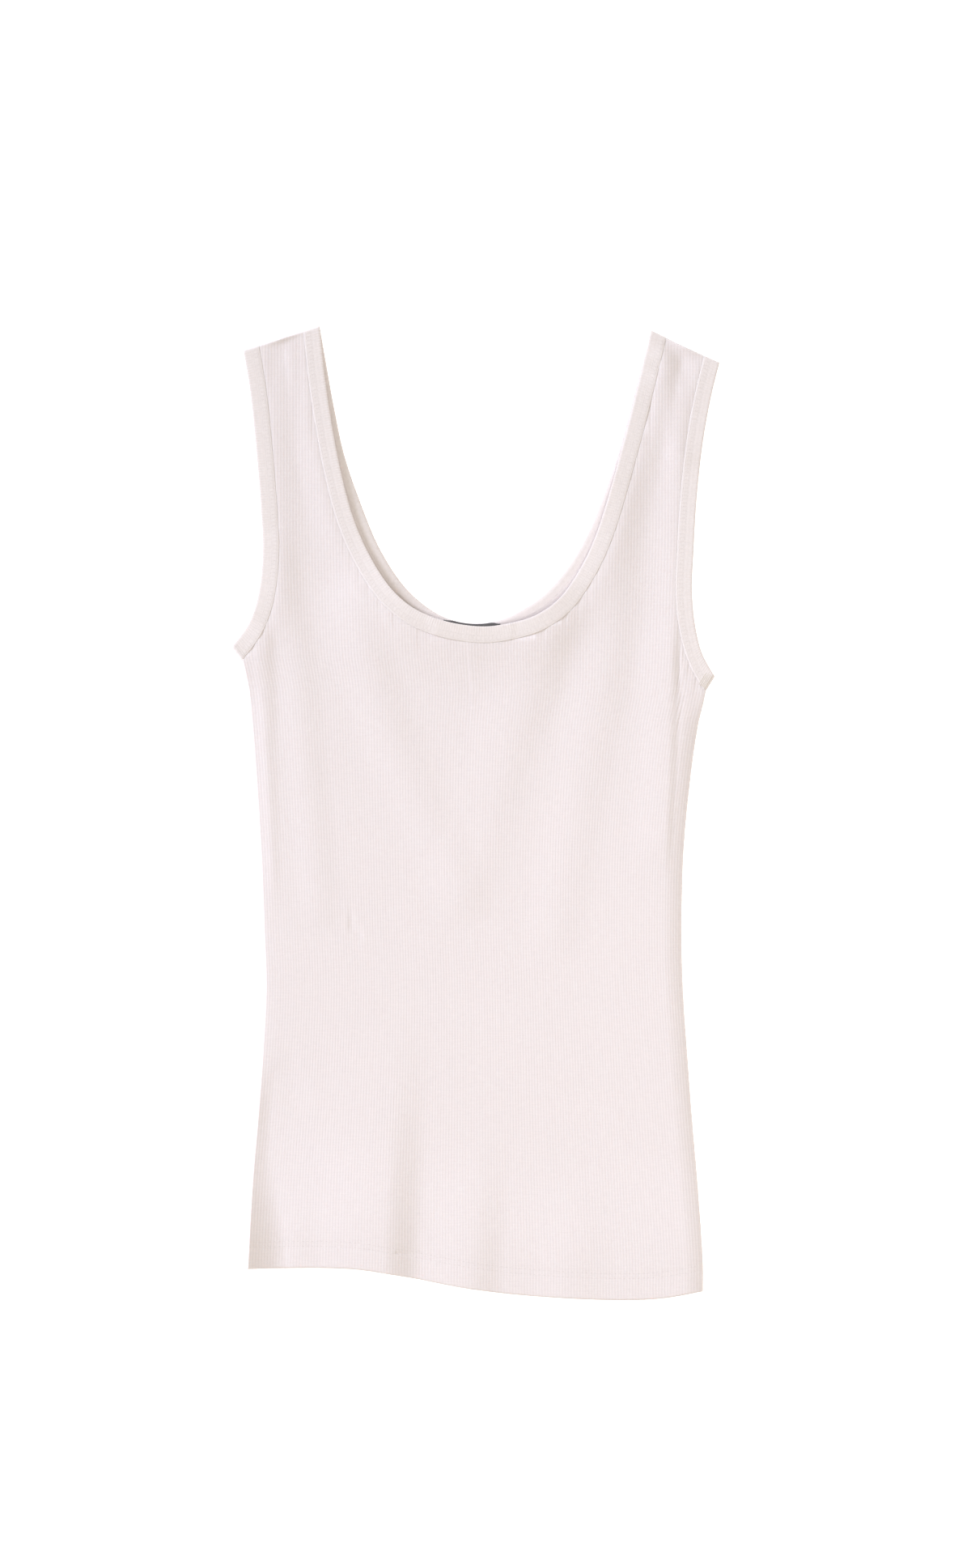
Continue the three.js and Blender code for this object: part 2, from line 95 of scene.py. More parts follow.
def eased(t: Array, start: Array, end: Array, leave: Array,
          arrive: Array) -> Array:
    """Runs smoothly between two values with set slopes at both.

    Args:
        t: How far along, from 0 to 1.
        start: The value at 0.
        end: The value at 1.
        leave: The slope at 0.
        arrive: The slope at 1.

    Returns:
        The value at t.
    """
    return (
        start * (1 + 2 * t) * (1 - t) ** 2 + end * t * t * (3 - 2 * t)
        + leave * t * (1 - t) ** 2 - arrive * t * t * (1 - t)
    )


def unit(vectors: Array) -> Array:
    """Returns a vector, or vectors one a row, at a length of 1."""
    return vectors / np.linalg.norm(vectors, axis=-1, keepdims=True)


def run_along(points: Array) -> Array:
    """Returns how far along a line each of its points lies."""
    return np.concatenate([[0], np.cumsum(np.linalg.norm(np.diff(points, axis=0), axis=1))])


def read_table(rows: Rows, at: Array) -> Array:
    """Reads a table of (key, value) rows smoothly.

    Args:
        rows: The table, with its keys rising.
        at: The keys to read at. Outside the table the end values hold.

    Returns:
        The values at those keys.
    """
    keys, values = np.array(rows, float).T
    at = np.clip(at, keys[0], keys[-1])
    step = np.diff(values) / np.diff(keys)
    slope = np.concatenate([step[:1], (values[2:] - values[:-2]) / (keys[2:] - keys[:-2]), step[-1:]])
    i = np.clip(np.searchsorted(keys, at, side="right") - 1, 0, len(keys) - 2)
    width = keys[i + 1] - keys[i]
    return eased((at - keys[i]) / width, values[i], values[i + 1], width * slope[i], width * slope[i + 1])


def evenly(points: Array, count: int) -> Array:
    """Spaces a line of points evenly along itself.

    Args:
        points: The line's points, one a row.
        count: How many stretches to make.

    Returns:
        count + 1 points.
    """
    run = run_along(points)
    at = np.linspace(0, run[-1], count + 1)
    return np.stack([np.interp(at, run, column) for column in points.T], axis=1)


def smooth_line(corners: Rows, count: int) -> Array:
    """Draws a smooth line through corners.

    Args:
        corners: The (x, y) places that the line runs through.
        count: How many stretches to make.

    Returns:
        count + 1 points, evenly spaced along the line.
    """
    p = np.array(corners, float)
    p = np.vstack([2 * p[0] - p[1], p, 2 * p[-1] - p[-2]])
    t = np.linspace(0, 1, 60, endpoint=False)[:, None]
    fine = []
    for a, b, c, d in zip(p, p[1:], p[2:], p[3:]):
        ab, bc, cd = (np.linalg.norm(q - r) ** 0.5 for q, r in ((a, b), (b, c), (c, d)))
        leave = ((b - a) / ab - (c - a) / (ab + bc) + (c - b) / bc) * bc
        arrive = ((c - b) / bc - (d - b) / (bc + cd) + (d - c) / cd) * bc
        fine.append(eased(t, b, c, leave, arrive))
    return evenly(np.vstack([*fine, p[-2:-1]]), count)


def between(line: Array, at: Array) -> Array:
    """Reads a line smoothly between its stations.

    Args:
        line: The points at stations 0, 1, 2 and so on.
        at: Stations to read at, with fractions.

    Returns:
        One point a station.
    """
    slope = np.gradient(line, axis=0)
    i = np.clip(at.astype(int), 0, len(line) - 2)
    return eased((at - i)[:, None], line[i], line[i + 1], slope[i], slope[i + 1])


def distance_to(line: Array, x: Array, y: Array) -> Array:
    """Measures how far places lie from a line.

    Args:
        line: The line's points, one a row.
        x, y: The places.

    Returns:
        The least distance of each place.
    """
    best = np.full(np.shape(x), np.inf)
    for (px, py), (qx, qy) in zip(line[:-1], line[1:]):
        dx, dy = qx - px, qy - py
        t = np.clip(((x - px) * dx + (y - py) * dy) / (dx * dx + dy * dy), 0, 1)
        best = np.minimum(best, (x - px - t * dx) ** 2 + (y - py - t * dy) ** 2)
    return np.sqrt(best)


# The pattern: outlines, fold lines and the bands' edges

NECK_LEFT, NECK_RIGHT = (-99.0, 309.5), (111.5, 306.0)
SHOULDER_LEFT, SHOULDER_RIGHT = (-147.5, 294.0), (155.0, 285.5)
TIP_LEFT, TIP_RIGHT = (-155.0, 104.5), (152.0, 86.0)
UNDERARM_LEFT, UNDERARM_RIGHT = (-148.5, 96.0), (146.5, 77.0)

# The sides as (y, x): side seams up to the underarms, and over them the lines that the ribs follow.
SIDE_LEFT: Rows = [
    (-290, -145), (-234, -142), (-193, -138.5), (-152, -135.5), (-111, -133.5), (-80, -134.5),
    (-29, -136.5), (12, -139), (53, -142), (82, -145), (96, -148.5), (120, -150.5), (175, -152.5),
]
SIDE_RIGHT: Rows = [
    (-304, 144.5), (-286, 144.5), (-234, 141), (-193, 137.5), (-152, 134.5), (-116, 132),
    (-80, 131), (-29, 132), (12, 135.5), (53, 141), (77, 146.5), (100, 149), (175, 152),
]
HEM: Rows = [
    (-145, -289.5), (-81, -289.5), (-43, -295), (-6, -302), (31, -306.5), (86.5, -309.5),
    (117.5, -308.5), (144.5, -304),
]
SHOULDERS: Rows = [(-160, 290), SHOULDER_LEFT, NECK_LEFT, NECK_RIGHT, SHOULDER_RIGHT, (160, 284)]
FRONT_NECK: Rows = [
    NECK_LEFT, (-95.5, 276), (-90, 240), (-84.5, 212.5), (-77, 185.5), (-66, 161), (-53, 141.5),
    (-39, 129.5), (-21.5, 122), (-4, 118.5), (8, 118), (19, 119.5), (37, 124.5), (52.5, 135),
    (65.5, 153), (76.5, 176), (93.5, 233), (107, 287), NECK_RIGHT,
]
BACK_NECK: Rows = [
    NECK_LEFT, (-94.5, 283.5), (-90, 258.5), (-83.5, 228), (-73.5, 198), (-60, 166), (-43, 141),
    (-25.5, 127), (-12, 121.5), (1.5, 120), (12.5, 121.5), (27, 127.5), (43.5, 138.5),
    (60.5, 158.5), (73, 181.5), (83.5, 208.5), (94.5, 243), (102.5, 274), NECK_RIGHT,
]
ARMHOLE_LEFT: Rows = [
    SHOULDER_LEFT, (-143, 266.5), (-139, 228), (-136, 189.5), (-135, 166), (-137, 143),
    (-140.5, 128), (-145.5, 117), TIP_LEFT,
]
ARMHOLE_RIGHT: Rows = [
    SHOULDER_RIGHT, (150, 265.5), (144.5, 235.5), (140.5, 199.5), (138.5, 166), (137.5, 140.5),
    (139.5, 118.5), (144, 100.5), TIP_RIGHT,
]
NECK_STATIONS, ARMHOLE_STATIONS = 56, 26
BAND_WIDTH = 10.5
HIDDEN_CUT = 6.5  # how far from a band's free edge the panel inside it is cut


def side_left(y: Array) -> Array:
    """Returns the left side's x at a height y of the garment."""
    return read_table(SIDE_LEFT, y)


def side_right(y: Array) -> Array:
    """Returns the right side's x at a height y of the garment."""
    return read_table(SIDE_RIGHT, y)


def hem_line(x: Array) -> Array:
    """Returns the hem's y at an x."""
    return read_table(HEM, x)


def shoulder_line(x: Array) -> Array:
    """Returns the y of the straps' tops at an x."""
    keys, values = np.array(SHOULDERS, float).T
    return np.interp(x, keys, values)


@dataclass(frozen=True)
class FoldLine:
    """Where a strap's top or an underarm's end folds over: from a band's free corner to its sewn corner."""

    edge: Place
    seam: Place
    outside: Place

    @property
    def along(self) -> Array:
        """The unit direction of the line."""
        return unit(np.subtract(self.seam, self.edge))

    @property
    def out(self) -> Array:
        """The unit direction away from the cloth."""
        out = np.array([-self.along[1], self.along[0]])
        return out if out @ np.subtract(self.outside, self.edge) > 0 else -out

    def inside(self, x: Array, y: Array) -> Array:
        """Returns how far places lie inside the line."""
        return -(self.out[0] * (x - self.edge[0]) + self.out[1] * (y - self.edge[1]))


FOLD_SHOULDER_LEFT = FoldLine(NECK_LEFT, SHOULDER_LEFT, (-125, 400))
FOLD_SHOULDER_RIGHT = FoldLine(NECK_RIGHT, SHOULDER_RIGHT, (135, 400))
FOLD_OUTER_LEFT = FoldLine(SHOULDER_LEFT, NECK_LEFT, (-125, 400))
FOLD_OUTER_RIGHT = FoldLine(SHOULDER_RIGHT, NECK_RIGHT, (135, 400))
FOLD_UNDERARM_LEFT = FoldLine(TIP_LEFT, UNDERARM_LEFT, (-200, 60))
FOLD_UNDERARM_RIGHT = FoldLine(TIP_RIGHT, UNDERARM_RIGHT, (200, 40))


class Route(Enum):
    """The bands' routes: corners, stations, side of the cloth and the folds at both ends."""

    FRONT_NECK = (FRONT_NECK, NECK_STATIONS, -1, FOLD_SHOULDER_LEFT, FOLD_SHOULDER_RIGHT)
    BACK_NECK = (BACK_NECK, NECK_STATIONS, -1, FOLD_SHOULDER_LEFT, FOLD_SHOULDER_RIGHT)
    ARMHOLE_LEFT = (ARMHOLE_LEFT, ARMHOLE_STATIONS, 1, FOLD_OUTER_LEFT, FOLD_UNDERARM_LEFT)
    ARMHOLE_RIGHT = (ARMHOLE_RIGHT, ARMHOLE_STATIONS, -1, FOLD_OUTER_RIGHT, FOLD_UNDERARM_RIGHT)

    def lines(self, inset: float, distance: float = BAND_WIDTH) -> tuple[Array, Array]:
        """Draws the route's free edge and a line beside it in the cloth.

        Args:
            inset: How far inside the folds at its ends both lines stop.
            distance: How far into the cloth the second line runs.

        Returns:
            The free edge and the second line, with the same number of points.
        """
        corners, count, turn, start, end = self.value
        edge = smooth_line(corners, count)
        ahead = unit(np.vstack([edge[1:], edge[-1:]]) - np.vstack([edge[:1], edge[:-1]]))
        line = edge + turn * distance * np.stack([-ahead[:, 1], ahead[:, 0]], axis=1)
        skew = math.ceil(count / 6)
        for fold, at, step in ((start, 0, 1), (end, count, -1)):
            reach = distance / abs(unit(line[at] - edge[at]) @ fold.along)
            shift = np.array(fold.edge) + reach * fold.along - line[at]
            for k in range(skew):
                line[at + step * k] += shift * (1 - smooth(k / skew))
            for run in (edge, line):
                here, there = fold.inside(*run[at]), fold.inside(*run[at + step])
                run[at] += (inset - here) / (there - here) * (run[at + step] - run[at])
        return edge, line


def panel_outline(neck: Route) -> Array:
    """Draws the cut edge of a panel: hidden inside the bands above, and well outside the cloth elsewhere.

    Args:
        neck: The front's or the back's neck route.

    Returns:
        The outline's corners in order.
    """
    inset, far, foot, reach = 0.2, 200.0, -330.0, 30.0
    left, right = (r.lines(inset, HIDDEN_CUT)[1] for r in (Route.ARMHOLE_LEFT, Route.ARMHOLE_RIGHT))
    run_out = [seam[-1] + reach * unit(seam[-1] - seam[-2]) for seam in (left, right)]
    scoop = neck.lines(inset, HIDDEN_CUT)[1]
    return np.vstack([
        (-far, foot), (far, foot), (far, run_out[1][1]), run_out[1], right[::-1], scoop[::-1], left,
        run_out[0], (-far, run_out[0][1]),
    ])


# How the cloth lies

CLOTH = 1.2
SEAM_GAP = 0.3
HEM_DEPTH, HEM_STEP, HEM_SLOPE = 17.5, 1.0, 75.0
FRONT_BASE = CLOTH + SEAM_GAP
BAND_THICKNESS = 2.2
BACK_BAND_TOP = BAND_THICKNESS
FRONT_BAND_BOTTOM = BACK_BAND_TOP + SEAM_GAP
FOLD_INNER, FOLD_OUTER, FOLD_AXIS_Z = 0.15, 2.35, 2.35
LABEL_LEFT, LABEL_RIGHT, LABEL_EASE, LABEL_RISE = -20.5, 16.5, 5.0, 0.35
TOP_FADE, SIDE_FADE = 9.0, 8.0  # folds die out over these lengths at the straps' tops and at the sides

FULLNESS = 1.25  # the flutes stand this much higher than their table says

# Flutes as (ax, ay, bx, by, cx, cy, height at a, height at c, reach to the left, reach to the right).
FLUTES: Rows = [
    (-59.5, -302, -57, -235, -51, -122, 2.7, 0.0, 78, 25),  # hem, under the left of the neck
    (-4, -304, -1, -262, 6, -190, 1.2, 0.0, 40, 22),  # hem, middle
    (58, -310, 62, -270, 66, -215, 0.5, 0.0, 28, 28),  # hem, right of the middle
    (-116, -296, -115, -262, -114, -215, 0.4, 0.0, 16, 18),  # hem, inside the left corner
    (-80, 130, -50, 40, -8, -50, 0.8, 0.5, 26, 20),  # from the neck's left, converging
    (53, 124, 23, 48, -1, -44, 0.8, 0.3, 36, 22),  # from the neck's right, converging
    (90, 210, 84, 105, 50, -75, 0.7, 0.35, 26, 22),  # right strap to the waist
    (-127, 168, -114, 100, -99, -60, 0.5, 0.35, 16, 16),  # left strap to the waist
    (113, 303, 123, 284, 131, 264, 0.8, 0.5, 10, 9),  # across the right strap's top
    (118, 274, 124, 250, 129.5, 226, 0.7, 0.5, 11, 9),  # and below that
    (-120, 300, -119, 285, -118, 262, 0.6, 0.3, 12, 9),  # at the left strap's top
    (-134.5, 112, -134, 60, -130.5, -45, 0.5, 0.35, 14, 9),  # along the left side seam
    (124, 106, 123.8, 60, 120, -20, 0.65, 0.45, 26, 5.8),  # beside the groove along the right side seam
    (-40, 131, -6, 122, 24, 124, 2.1, 1.6, 56, 60),  # the front neck, held up by its band
]

# Softer, smaller creases of the front, in the same columns.
CREASES: Rows = [
    (-79, -71.5, -76, -75, -73, -78, -0.5, -0.3, 3.6, 3.2),  # a small dent left of the waist
    (-120, -166, -116, -172, -112, -178, -0.5, -0.4, 12, 12),  # a soft dip over the left of the hem
    (-50, -279.3, -43, -280.0, -37, -281.0, -0.3, -0.2, 1.3, 1.3),  # a crease in the hem
    (129.4, 110, 129.0, 60, 127.4, 12, -0.5, -0.1, 0.9, 0.9),  # the groove along the right side seam
]

# Creases of the back's underside, as lifts from the surface.
BACK_CREASES: Rows = [
    (-60, -300, -50, -220, -30, -140, 0.45, 0.0, 18, 14),
    (70, -305, 66, -230, 50, -150, 0.35, 0.0, 15, 18),
    (-70, 90, -40, 10, -5, -60, 0.35, 0.05, 14, 10),
    (60, 80, 30, 0, 8, -70, 0.35, 0.05, 10, 14),
    (-120, 200, -110, 100, -100, 0, 0.3, 0.1, 8, 10),
    (118, 190, 108, 90, 100, -10, 0.3, 0.1, 10, 8),
]


def crest_heights(rows: Rows, x: Array, y: Array) -> Array:
    """Adds up the heights of crest lines at places.

    Args:
        rows: The crest lines, in the columns of FLUTES.
        x, y: The places.

    Returns:
        The height at each place. A crest fades past its line's two ends.
    """
    total = np.zeros(np.shape(x))
    for ax, ay, bx, by, cx, cy, start, end, left, right in rows:
        first, second = math.hypot(bx - ax, by - ay), math.hypot(cx - bx, cy - by)
        nearest, lean, share = np.full(np.shape(x), np.inf), np.zeros(np.shape(x)), np.zeros(np.shape(x))
        for px, py, qx, qy, length, done in ((ax, ay, bx, by, first, 0.0), (bx, by, cx, cy, second, first)):
            dx, dy = (qx - px) / length, (qy - py) / length
            held = np.clip((x - px) * dx + (y - py) * dy, 0, length)
            gap = np.hypot(x - px - held * dx, y - py - held * dy)
            side = ((x - px) * dy - (y - py) * dx) * np.sign(dy) / np.maximum(gap, 1e-9)
            nearer = gap < nearest
            lean = np.where(nearer, np.clip(side, -1, 1), lean)
            share = np.where(nearer, (held + done) / (first + second), share)
            nearest = np.minimum(nearest, gap)
        reach = left + (right - left) * (lean + 1) / 2
        total += (start + (end - start) * smooth(share)) * bell(nearest / reach)
    return total


def side_room(x: Array, y: Array) -> Array:
    """Returns how far places lie inside the side seams."""
    return np.maximum(0, np.minimum(x - side_left(y), side_right(y) - x))


def inside_shoulders(x: Array, y: Array) -> Array:
    """Returns how far places lie inside the straps' folds."""
    return np.where(x < 0, FOLD_SHOULDER_LEFT.inside(x, y), FOLD_SHOULDER_RIGHT.inside(x, y))


def shoulder_ease(x: Array, y: Array) -> Array:
    """Returns how much the straps' folds let the front layer rise, from 0 to 1."""
    return smooth((inside_shoulders(x, y) - FOLD_OUTER) / TOP_FADE)


def label_lift(x: Array) -> Array:
    """Returns how far the front band climbs onto the label at an x."""
    outside = np.maximum(np.maximum(LABEL_LEFT - x, x - LABEL_RIGHT), 0)
    return LABEL_RISE * (1 - smooth((outside - LABEL_EASE) / LABEL_EASE))


CURL_STARTS, CURL_FADE = -143.0, 45.0  # the level at which the hem's left corner starts to curl up
CURL_DEEPENS, CURL_DEEPENING = -208.0, 75.0  # the level from which it curls more, and for how long
CURL_HEIGHTS, CURL_REACHES = (1.4, 5.0), (9.0, 15.0)  # at first, and how much is added farther down


def curl(x: Array, y: Array) -> Array:
    """Returns how far the hem's left corner, front and back, curls up from the surface."""
    down = smooth((CURL_DEEPENS - y) / CURL_DEEPENING)
    height = (CURL_HEIGHTS[0] + CURL_HEIGHTS[1] * down) * smooth((CURL_STARTS - y) / CURL_FADE)
    reach = CURL_REACHES[0] + CURL_REACHES[1] * down
    return height * (1 - np.clip((x - side_left(y)) / reach, 0, 1)) ** 1.6


def band_underside(x: Array, y: Array, is_neck: bool) -> Array:
    """Returns the height of a front band's underside.

    Args:
        x, y: The places.
        is_neck: Whether it is the neck's band, which climbs onto the label.
    """
    rise = np.maximum(0, FULLNESS * crest_heights(FLUTES, x, y)) + (label_lift(x) if is_neck else 0)
    return FRONT_BAND_BOTTOM + rise * shoulder_ease(x, y) * smooth(side_room(x, y) / SIDE_FADE)


@dataclass(frozen=True)
class FrontLie:
    """How the front layer lies over the back: lifted to its bands, puffed by air and raised in flutes."""

    puff: float = 0.55
    puff_reach: float = 9.0
    puff_fade: float = 50.0  # the air dies out over this length under the straps' tops
    band_lift: float = 1.5
    lift_reach: float = 12.0
    most_air: float = 5.4
    swell: float = 1.1  # how much fuller the cloth stands inside its right side
    swell_edge: float = 11.0
    swell_reach: float = 45.0
    swell_top: Place = (130.0, 60.0)  # the level where it ends and how far it takes to come
    fold_height: float = 1.35  # the cloth stays this high up to the straps' folds
    fold_bulge: float = 1.5  # and springs up at them between the bands
    fold_reach: float = 4.5

    def underside(self, x: Array, y: Array) -> Array:
        """Measures the height of the front cloth's underside.

        Args:
            x, y: The places.

        Returns:
            Heights over the surface, without the turned-up hem's second layer.
        """
        near = [
            np.exp(-((distance_to(route.lines(0)[1], x, y) / self.lift_reach) ** 2))
            for route in (Route.FRONT_NECK, Route.ARMHOLE_LEFT, Route.ARMHOLE_RIGHT)
        ]
        lift = np.maximum.reduce(near)
        side, from_right = side_room(x, y), np.maximum(side_right(y) - x, 0)
        puff = self.puff * (1 - np.exp(-side / self.puff_reach))
        puff = puff * smooth(inside_shoulders(x, y) / self.puff_fade)
        full = self.swell * (1 - (1 - np.clip(from_right / self.swell_edge, 0, 1)) ** 2)
        fading = np.exp(-np.maximum(from_right - self.swell_edge, 0) / self.swell_reach)
        below = smooth((self.swell_top[0] - y) / self.swell_top[1])
        puff = (puff + full * fading * below) * (1 - lift)
        crests = FULLNESS * crest_heights(FLUTES, x, y) + crest_heights(CREASES, x, y)
        air = np.clip(puff + crests * smooth(side / self.puff_reach), 0, self.most_air)
        hem = 2 * HEM_STEP * (1 - smooth((y - hem_line(x) - HEM_DEPTH) / HEM_SLOPE))
        ease = shoulder_ease(x, y)
        raised = self.band_lift * lift * ease + self.fold_height * (1 - ease)
        bulge = self.fold_bulge * bell(inside_shoulders(x, y) / self.fold_reach) * (1 - lift) ** 0.6
        return FRONT_BASE + hem + raised + air * ease + bulge + curl(x, y)


def in_bands(neck: Route, x: Array, y: Array, start: float = 0.3, ease: float = 1.4) -> Array:
    """Returns how much a place lies inside a band, from 0 in the open cloth to 1 under the band's seam.

    Args:
        neck: The front's or the back's neck route.
        x, y: The places.
        start: How far inside the seam it is wholly in.
        ease: How far farther out it starts.
    """
    routes = (neck, Route.ARMHOLE_LEFT, Route.ARMHOLE_RIGHT)
    nearest = np.minimum.reduce([distance_to(route.lines(0)[0], x, y) for route in routes])
    return 1 - smooth((nearest - BAND_WIDTH + start) / ease)


# Finishes

Colour = tuple[float, float, float]


class Tree:
    """A material's nodes, added and joined in the order that they are named."""

    def __init__(self, name: str) -> None:
        """Starts a material of that name with its shader and output."""
        self.material = bpy.data.materials.new(name)
        self.material.use_nodes = True
        self.nodes = self.material.node_tree.nodes
        self.shader = self.nodes["Principled BSDF"]

    def add(self, kind: str, settings: dict[str, object] | None = None, **inputs: object) -> bpy.types.Node:
        """Adds a node.

        Args:
            kind: The node's type, without its "ShaderNode" start.
            settings: Properties of the node itself.
            **inputs: Values or sockets for its inputs, named in lower case, or i0, i1 and so on by number.

        Returns:
            The node.
        """
        node = self.nodes.new("ShaderNode" + kind)
        for key, value in (settings or {}).items():
            setattr(node, key, value)
        for key, value in inputs.items():
            by_number = key[0] == "i" and key[1:].isdigit()
            socket = node.inputs[int(key[1:]) if by_number else key.replace("_", " ").title()]
            self.set(socket, value)
        return node

    def set(self, socket: Socket, value: object) -> None:
        """Joins a socket to another, or gives it a value."""
        if isinstance(value, Socket):
            self.material.node_tree.links.new(value, socket)
        else:
            socket.default_value = value

    def maths(self, operation: str, *values: object) -> Socket:
        """Adds one sum and returns its result.

        Args:
            operation: Blender's name of the operation.
            *values: Numbers or sockets.
        """
        node = self.add("Math", {"operation": operation}, **{f"i{i}": v for i, v in enumerate(values)})
        return node.outputs[0]

    def mapped(self, value: object, low: float, high: float, *ends: float) -> Socket:
        """Maps a value from one range to that between two ends and returns it."""
        return self.add("MapRange", None, i0=value, i1=low, i2=high, i3=ends[0], i4=ends[1]).outputs[0]

    def noise(self, place: object, scale: float, detail: float = 2.0, **more: float) -> Socket:
        """Adds a noise pattern and returns its strength."""
        return self.add("TexNoise", None, vector=place, scale=scale, detail=detail, **more).outputs[0]

    def waves(self, value: object, scale: float = math.pi) -> Socket:
        """Returns the size of the sine of a value times a scale."""
        return self.maths("ABSOLUTE", self.maths("SINE", self.maths("MULTIPLY", value, scale)))

    def streaks(self, uv: object, stretch: Place, change: float) -> Socket:
        """Adds melange streaks as a tone.

        Args:
            uv: The UV map's places.
            stretch: How close the streaks lie along U and V.
            change: How much lighter or darker they are.
        """
        across = self.add("Mapping", None, vector=uv)
        across.inputs["Scale"].default_value = (*stretch, 1.0)
        pattern = self.noise(across.outputs[0], 1.0, 3.0, roughness=0.6)
        return self.mapped(pattern, 0.3, 0.7, 1 - change, 1 + change)

    def constants(self, **values: object) -> None:
        """Sets inputs of the shader, named in lower case."""
        names = {name.lower().replace(" ", "_"): name for name in self.shader.inputs.keys()}
        for key, value in values.items():
            self.shader.inputs[names[key]].default_value = value

    def bump(self, height: object, strength: float, distance: float) -> None:
        """Gives the shader small bumps."""
        bumps = self.add("Bump", None, height=height, strength=strength, distance=distance)
        self.set(self.shader.inputs["Normal"], bumps.outputs[0])

    def knit(self, loops: object, place: object, bump: float, inside: Place) -> None:
        """Finishes a knit: loops and fuzz in its bumps, a matt surface, a little sheen and light inside it.

        Args:
            loops: How high the loops stand.
            place: Object coordinates.
            bump: The strength of the bumps.
            inside: The weight and the scale of the light that goes through.
        """
        fuzz = self.maths("MULTIPLY", self.noise(place, 2600.0), 0.7)
        self.bump(self.maths("ADD", loops, fuzz), bump, 0.0003)
        self.constants(
            roughness=0.92, specular_ior_level=0.15, sheen_weight=0.12, sheen_roughness=0.5,
            subsurface_weight=inside[0], subsurface_radius=(1.0, 0.95, 0.9), subsurface_scale=inside[1],
        )

    def paint(self, colour: Colour, *tones: object) -> None:
        """Gives the shader a colour times several grey tones."""
        tone = tones[0]
        for other in tones[1:]:
            tone = self.maths("MULTIPLY", tone, other)
        mix = self.add("VectorMath", {"operation": "SCALE"}, i0=colour)
        self.set(mix.inputs["Scale"], tone)
        self.set(self.shader.inputs["Base Color"], mix.outputs[0])

    def place(self) -> Socket:
        """Adds Object coordinates and returns them."""
        return self.add("TexCoord").outputs["Object"]


@dataclass(frozen=True)
class RibKnitFinish:
    """Fine rib knit: ribs along V with painted shade in the grooves between them, melange streaks across
    them and small V-shaped stitches.

    The UV map counts ribs along U and millimetres along V.
    """

    name: str = "rib_knit"
    colour: Colour = (0.782, 0.7125, 0.7125)
    # how far the grooves between the ribs are darkened: painted shade, the colour times this
    groove_painted_shade: float = 0.955
    streak: float = 0.022
    mottle: float = 0.004
    stitch_height: float = 1.05
    stitch_bump: float = 0.04
    inside: Place = (0.6, 0.0012)  # the weight and the scale of the light inside the cloth

    def make(self) -> bpy.types.Material:
        """Builds the material and returns it."""
        tree = Tree(self.name)
        uv = tree.add("UVMap", {"uv_map": "UVMap"}).outputs[0]
        parts = tree.add("SeparateXYZ", None, i0=uv)
        u, v = parts.outputs[0], parts.outputs[1]
        # painted shade: the colour is darkened in the grooves between the ribs
        groove = tree.mapped(tree.waves(u), 0.0, 0.75, self.groove_painted_shade, 1.0)
        streak = tree.streaks(uv, (0.28, 1.0), self.streak)
        place = tree.place()
        cloud = tree.mapped(tree.noise(place, 28.0), 0.3, 0.7, 1 - self.mottle, 1 + self.mottle)
        tree.paint(self.colour, groove, streak, cloud)
        off_centre = tree.maths("ABSOLUTE", tree.maths("SUBTRACT", tree.maths("FRACT", u), 0.5))
        up = tree.maths("DIVIDE", v, self.stitch_height)
        leg = tree.maths("ADD", up, tree.maths("MULTIPLY", off_centre, 1.1))
        tree.knit(tree.waves(leg), place, self.stitch_bump, self.inside)
        return tree.material


@dataclass(frozen=True)
class BandFinish:
    """The bands' finer knit: small stitches in line with the ribs that cross the band.

    The UV map holds millimetres round the band's section along U, and along the band along V.
    """

    name: str = "band_knit"
    colour: Colour = (0.772, 0.702, 0.690)
    streak: float = 0.03
    stitch_bump: float = 0.07
    inside: Place = (0.2, 0.0008)

    def make(self) -> bpy.types.Material:
        """Builds the material and returns it."""
        tree = Tree(self.name)
        uv = tree.add("UVMap", {"uv_map": "UVMap"}).outputs[0]
        streak = tree.streaks(uv, (0.9, 0.35), self.streak)
        tree.paint(self.colour, streak)
        parts = tree.add("SeparateXYZ", None, i0=uv)
        place = tree.place()
        tree.knit(tree.waves(parts.outputs[0], 3.0), place, self.stitch_bump, self.inside)
        return tree.material


@dataclass(frozen=True)
class ThreadFinish:
    """Sewing thread, slightly glossier than the knit, with small changes of tone."""

    name: str = "sewing_thread"
    colour: Colour = (0.735, 0.665, 0.65)
    roughness: float = 0.8

    def make(self) -> bpy.types.Material:
        """Builds the material and returns it."""
        tree = Tree(self.name)
        place = tree.place()
        twist = tree.noise(place, 1500.0)
        tone = tree.mapped(twist, 0.3, 0.7, 0.93, 1.05)
        tree.paint(self.colour, tone)
        tree.bump(twist, 0.2, 0.0001)
        tree.constants(roughness=self.roughness, specular_ior_level=0.15)
        return tree.material


@dataclass(frozen=True)
class TapeFinish:
    """The label's plain woven tape: a fine dark weave with nothing on it."""

    name: str = "label_tape"
    colour: Colour = (0.115, 0.107, 0.105)
    pitch: float = 0.00035

    def make(self) -> bpy.types.Material:
        """Builds the material and returns it."""
        tree = Tree(self.name)
        place = tree.add("SeparateXYZ", None, i0=tree.place())
        warp, weft = (tree.waves(axis, math.pi / self.pitch) for axis in place.outputs[:2])
        weave = tree.maths("MULTIPLY", warp, weft)
        tone = tree.mapped(weave, 0, 1, 0.75, 1.15)
        tree.paint(self.colour, tone)
        tree.bump(weave, 0.3, 0.0001)
        tree.constants(roughness=0.7)
        return tree.material


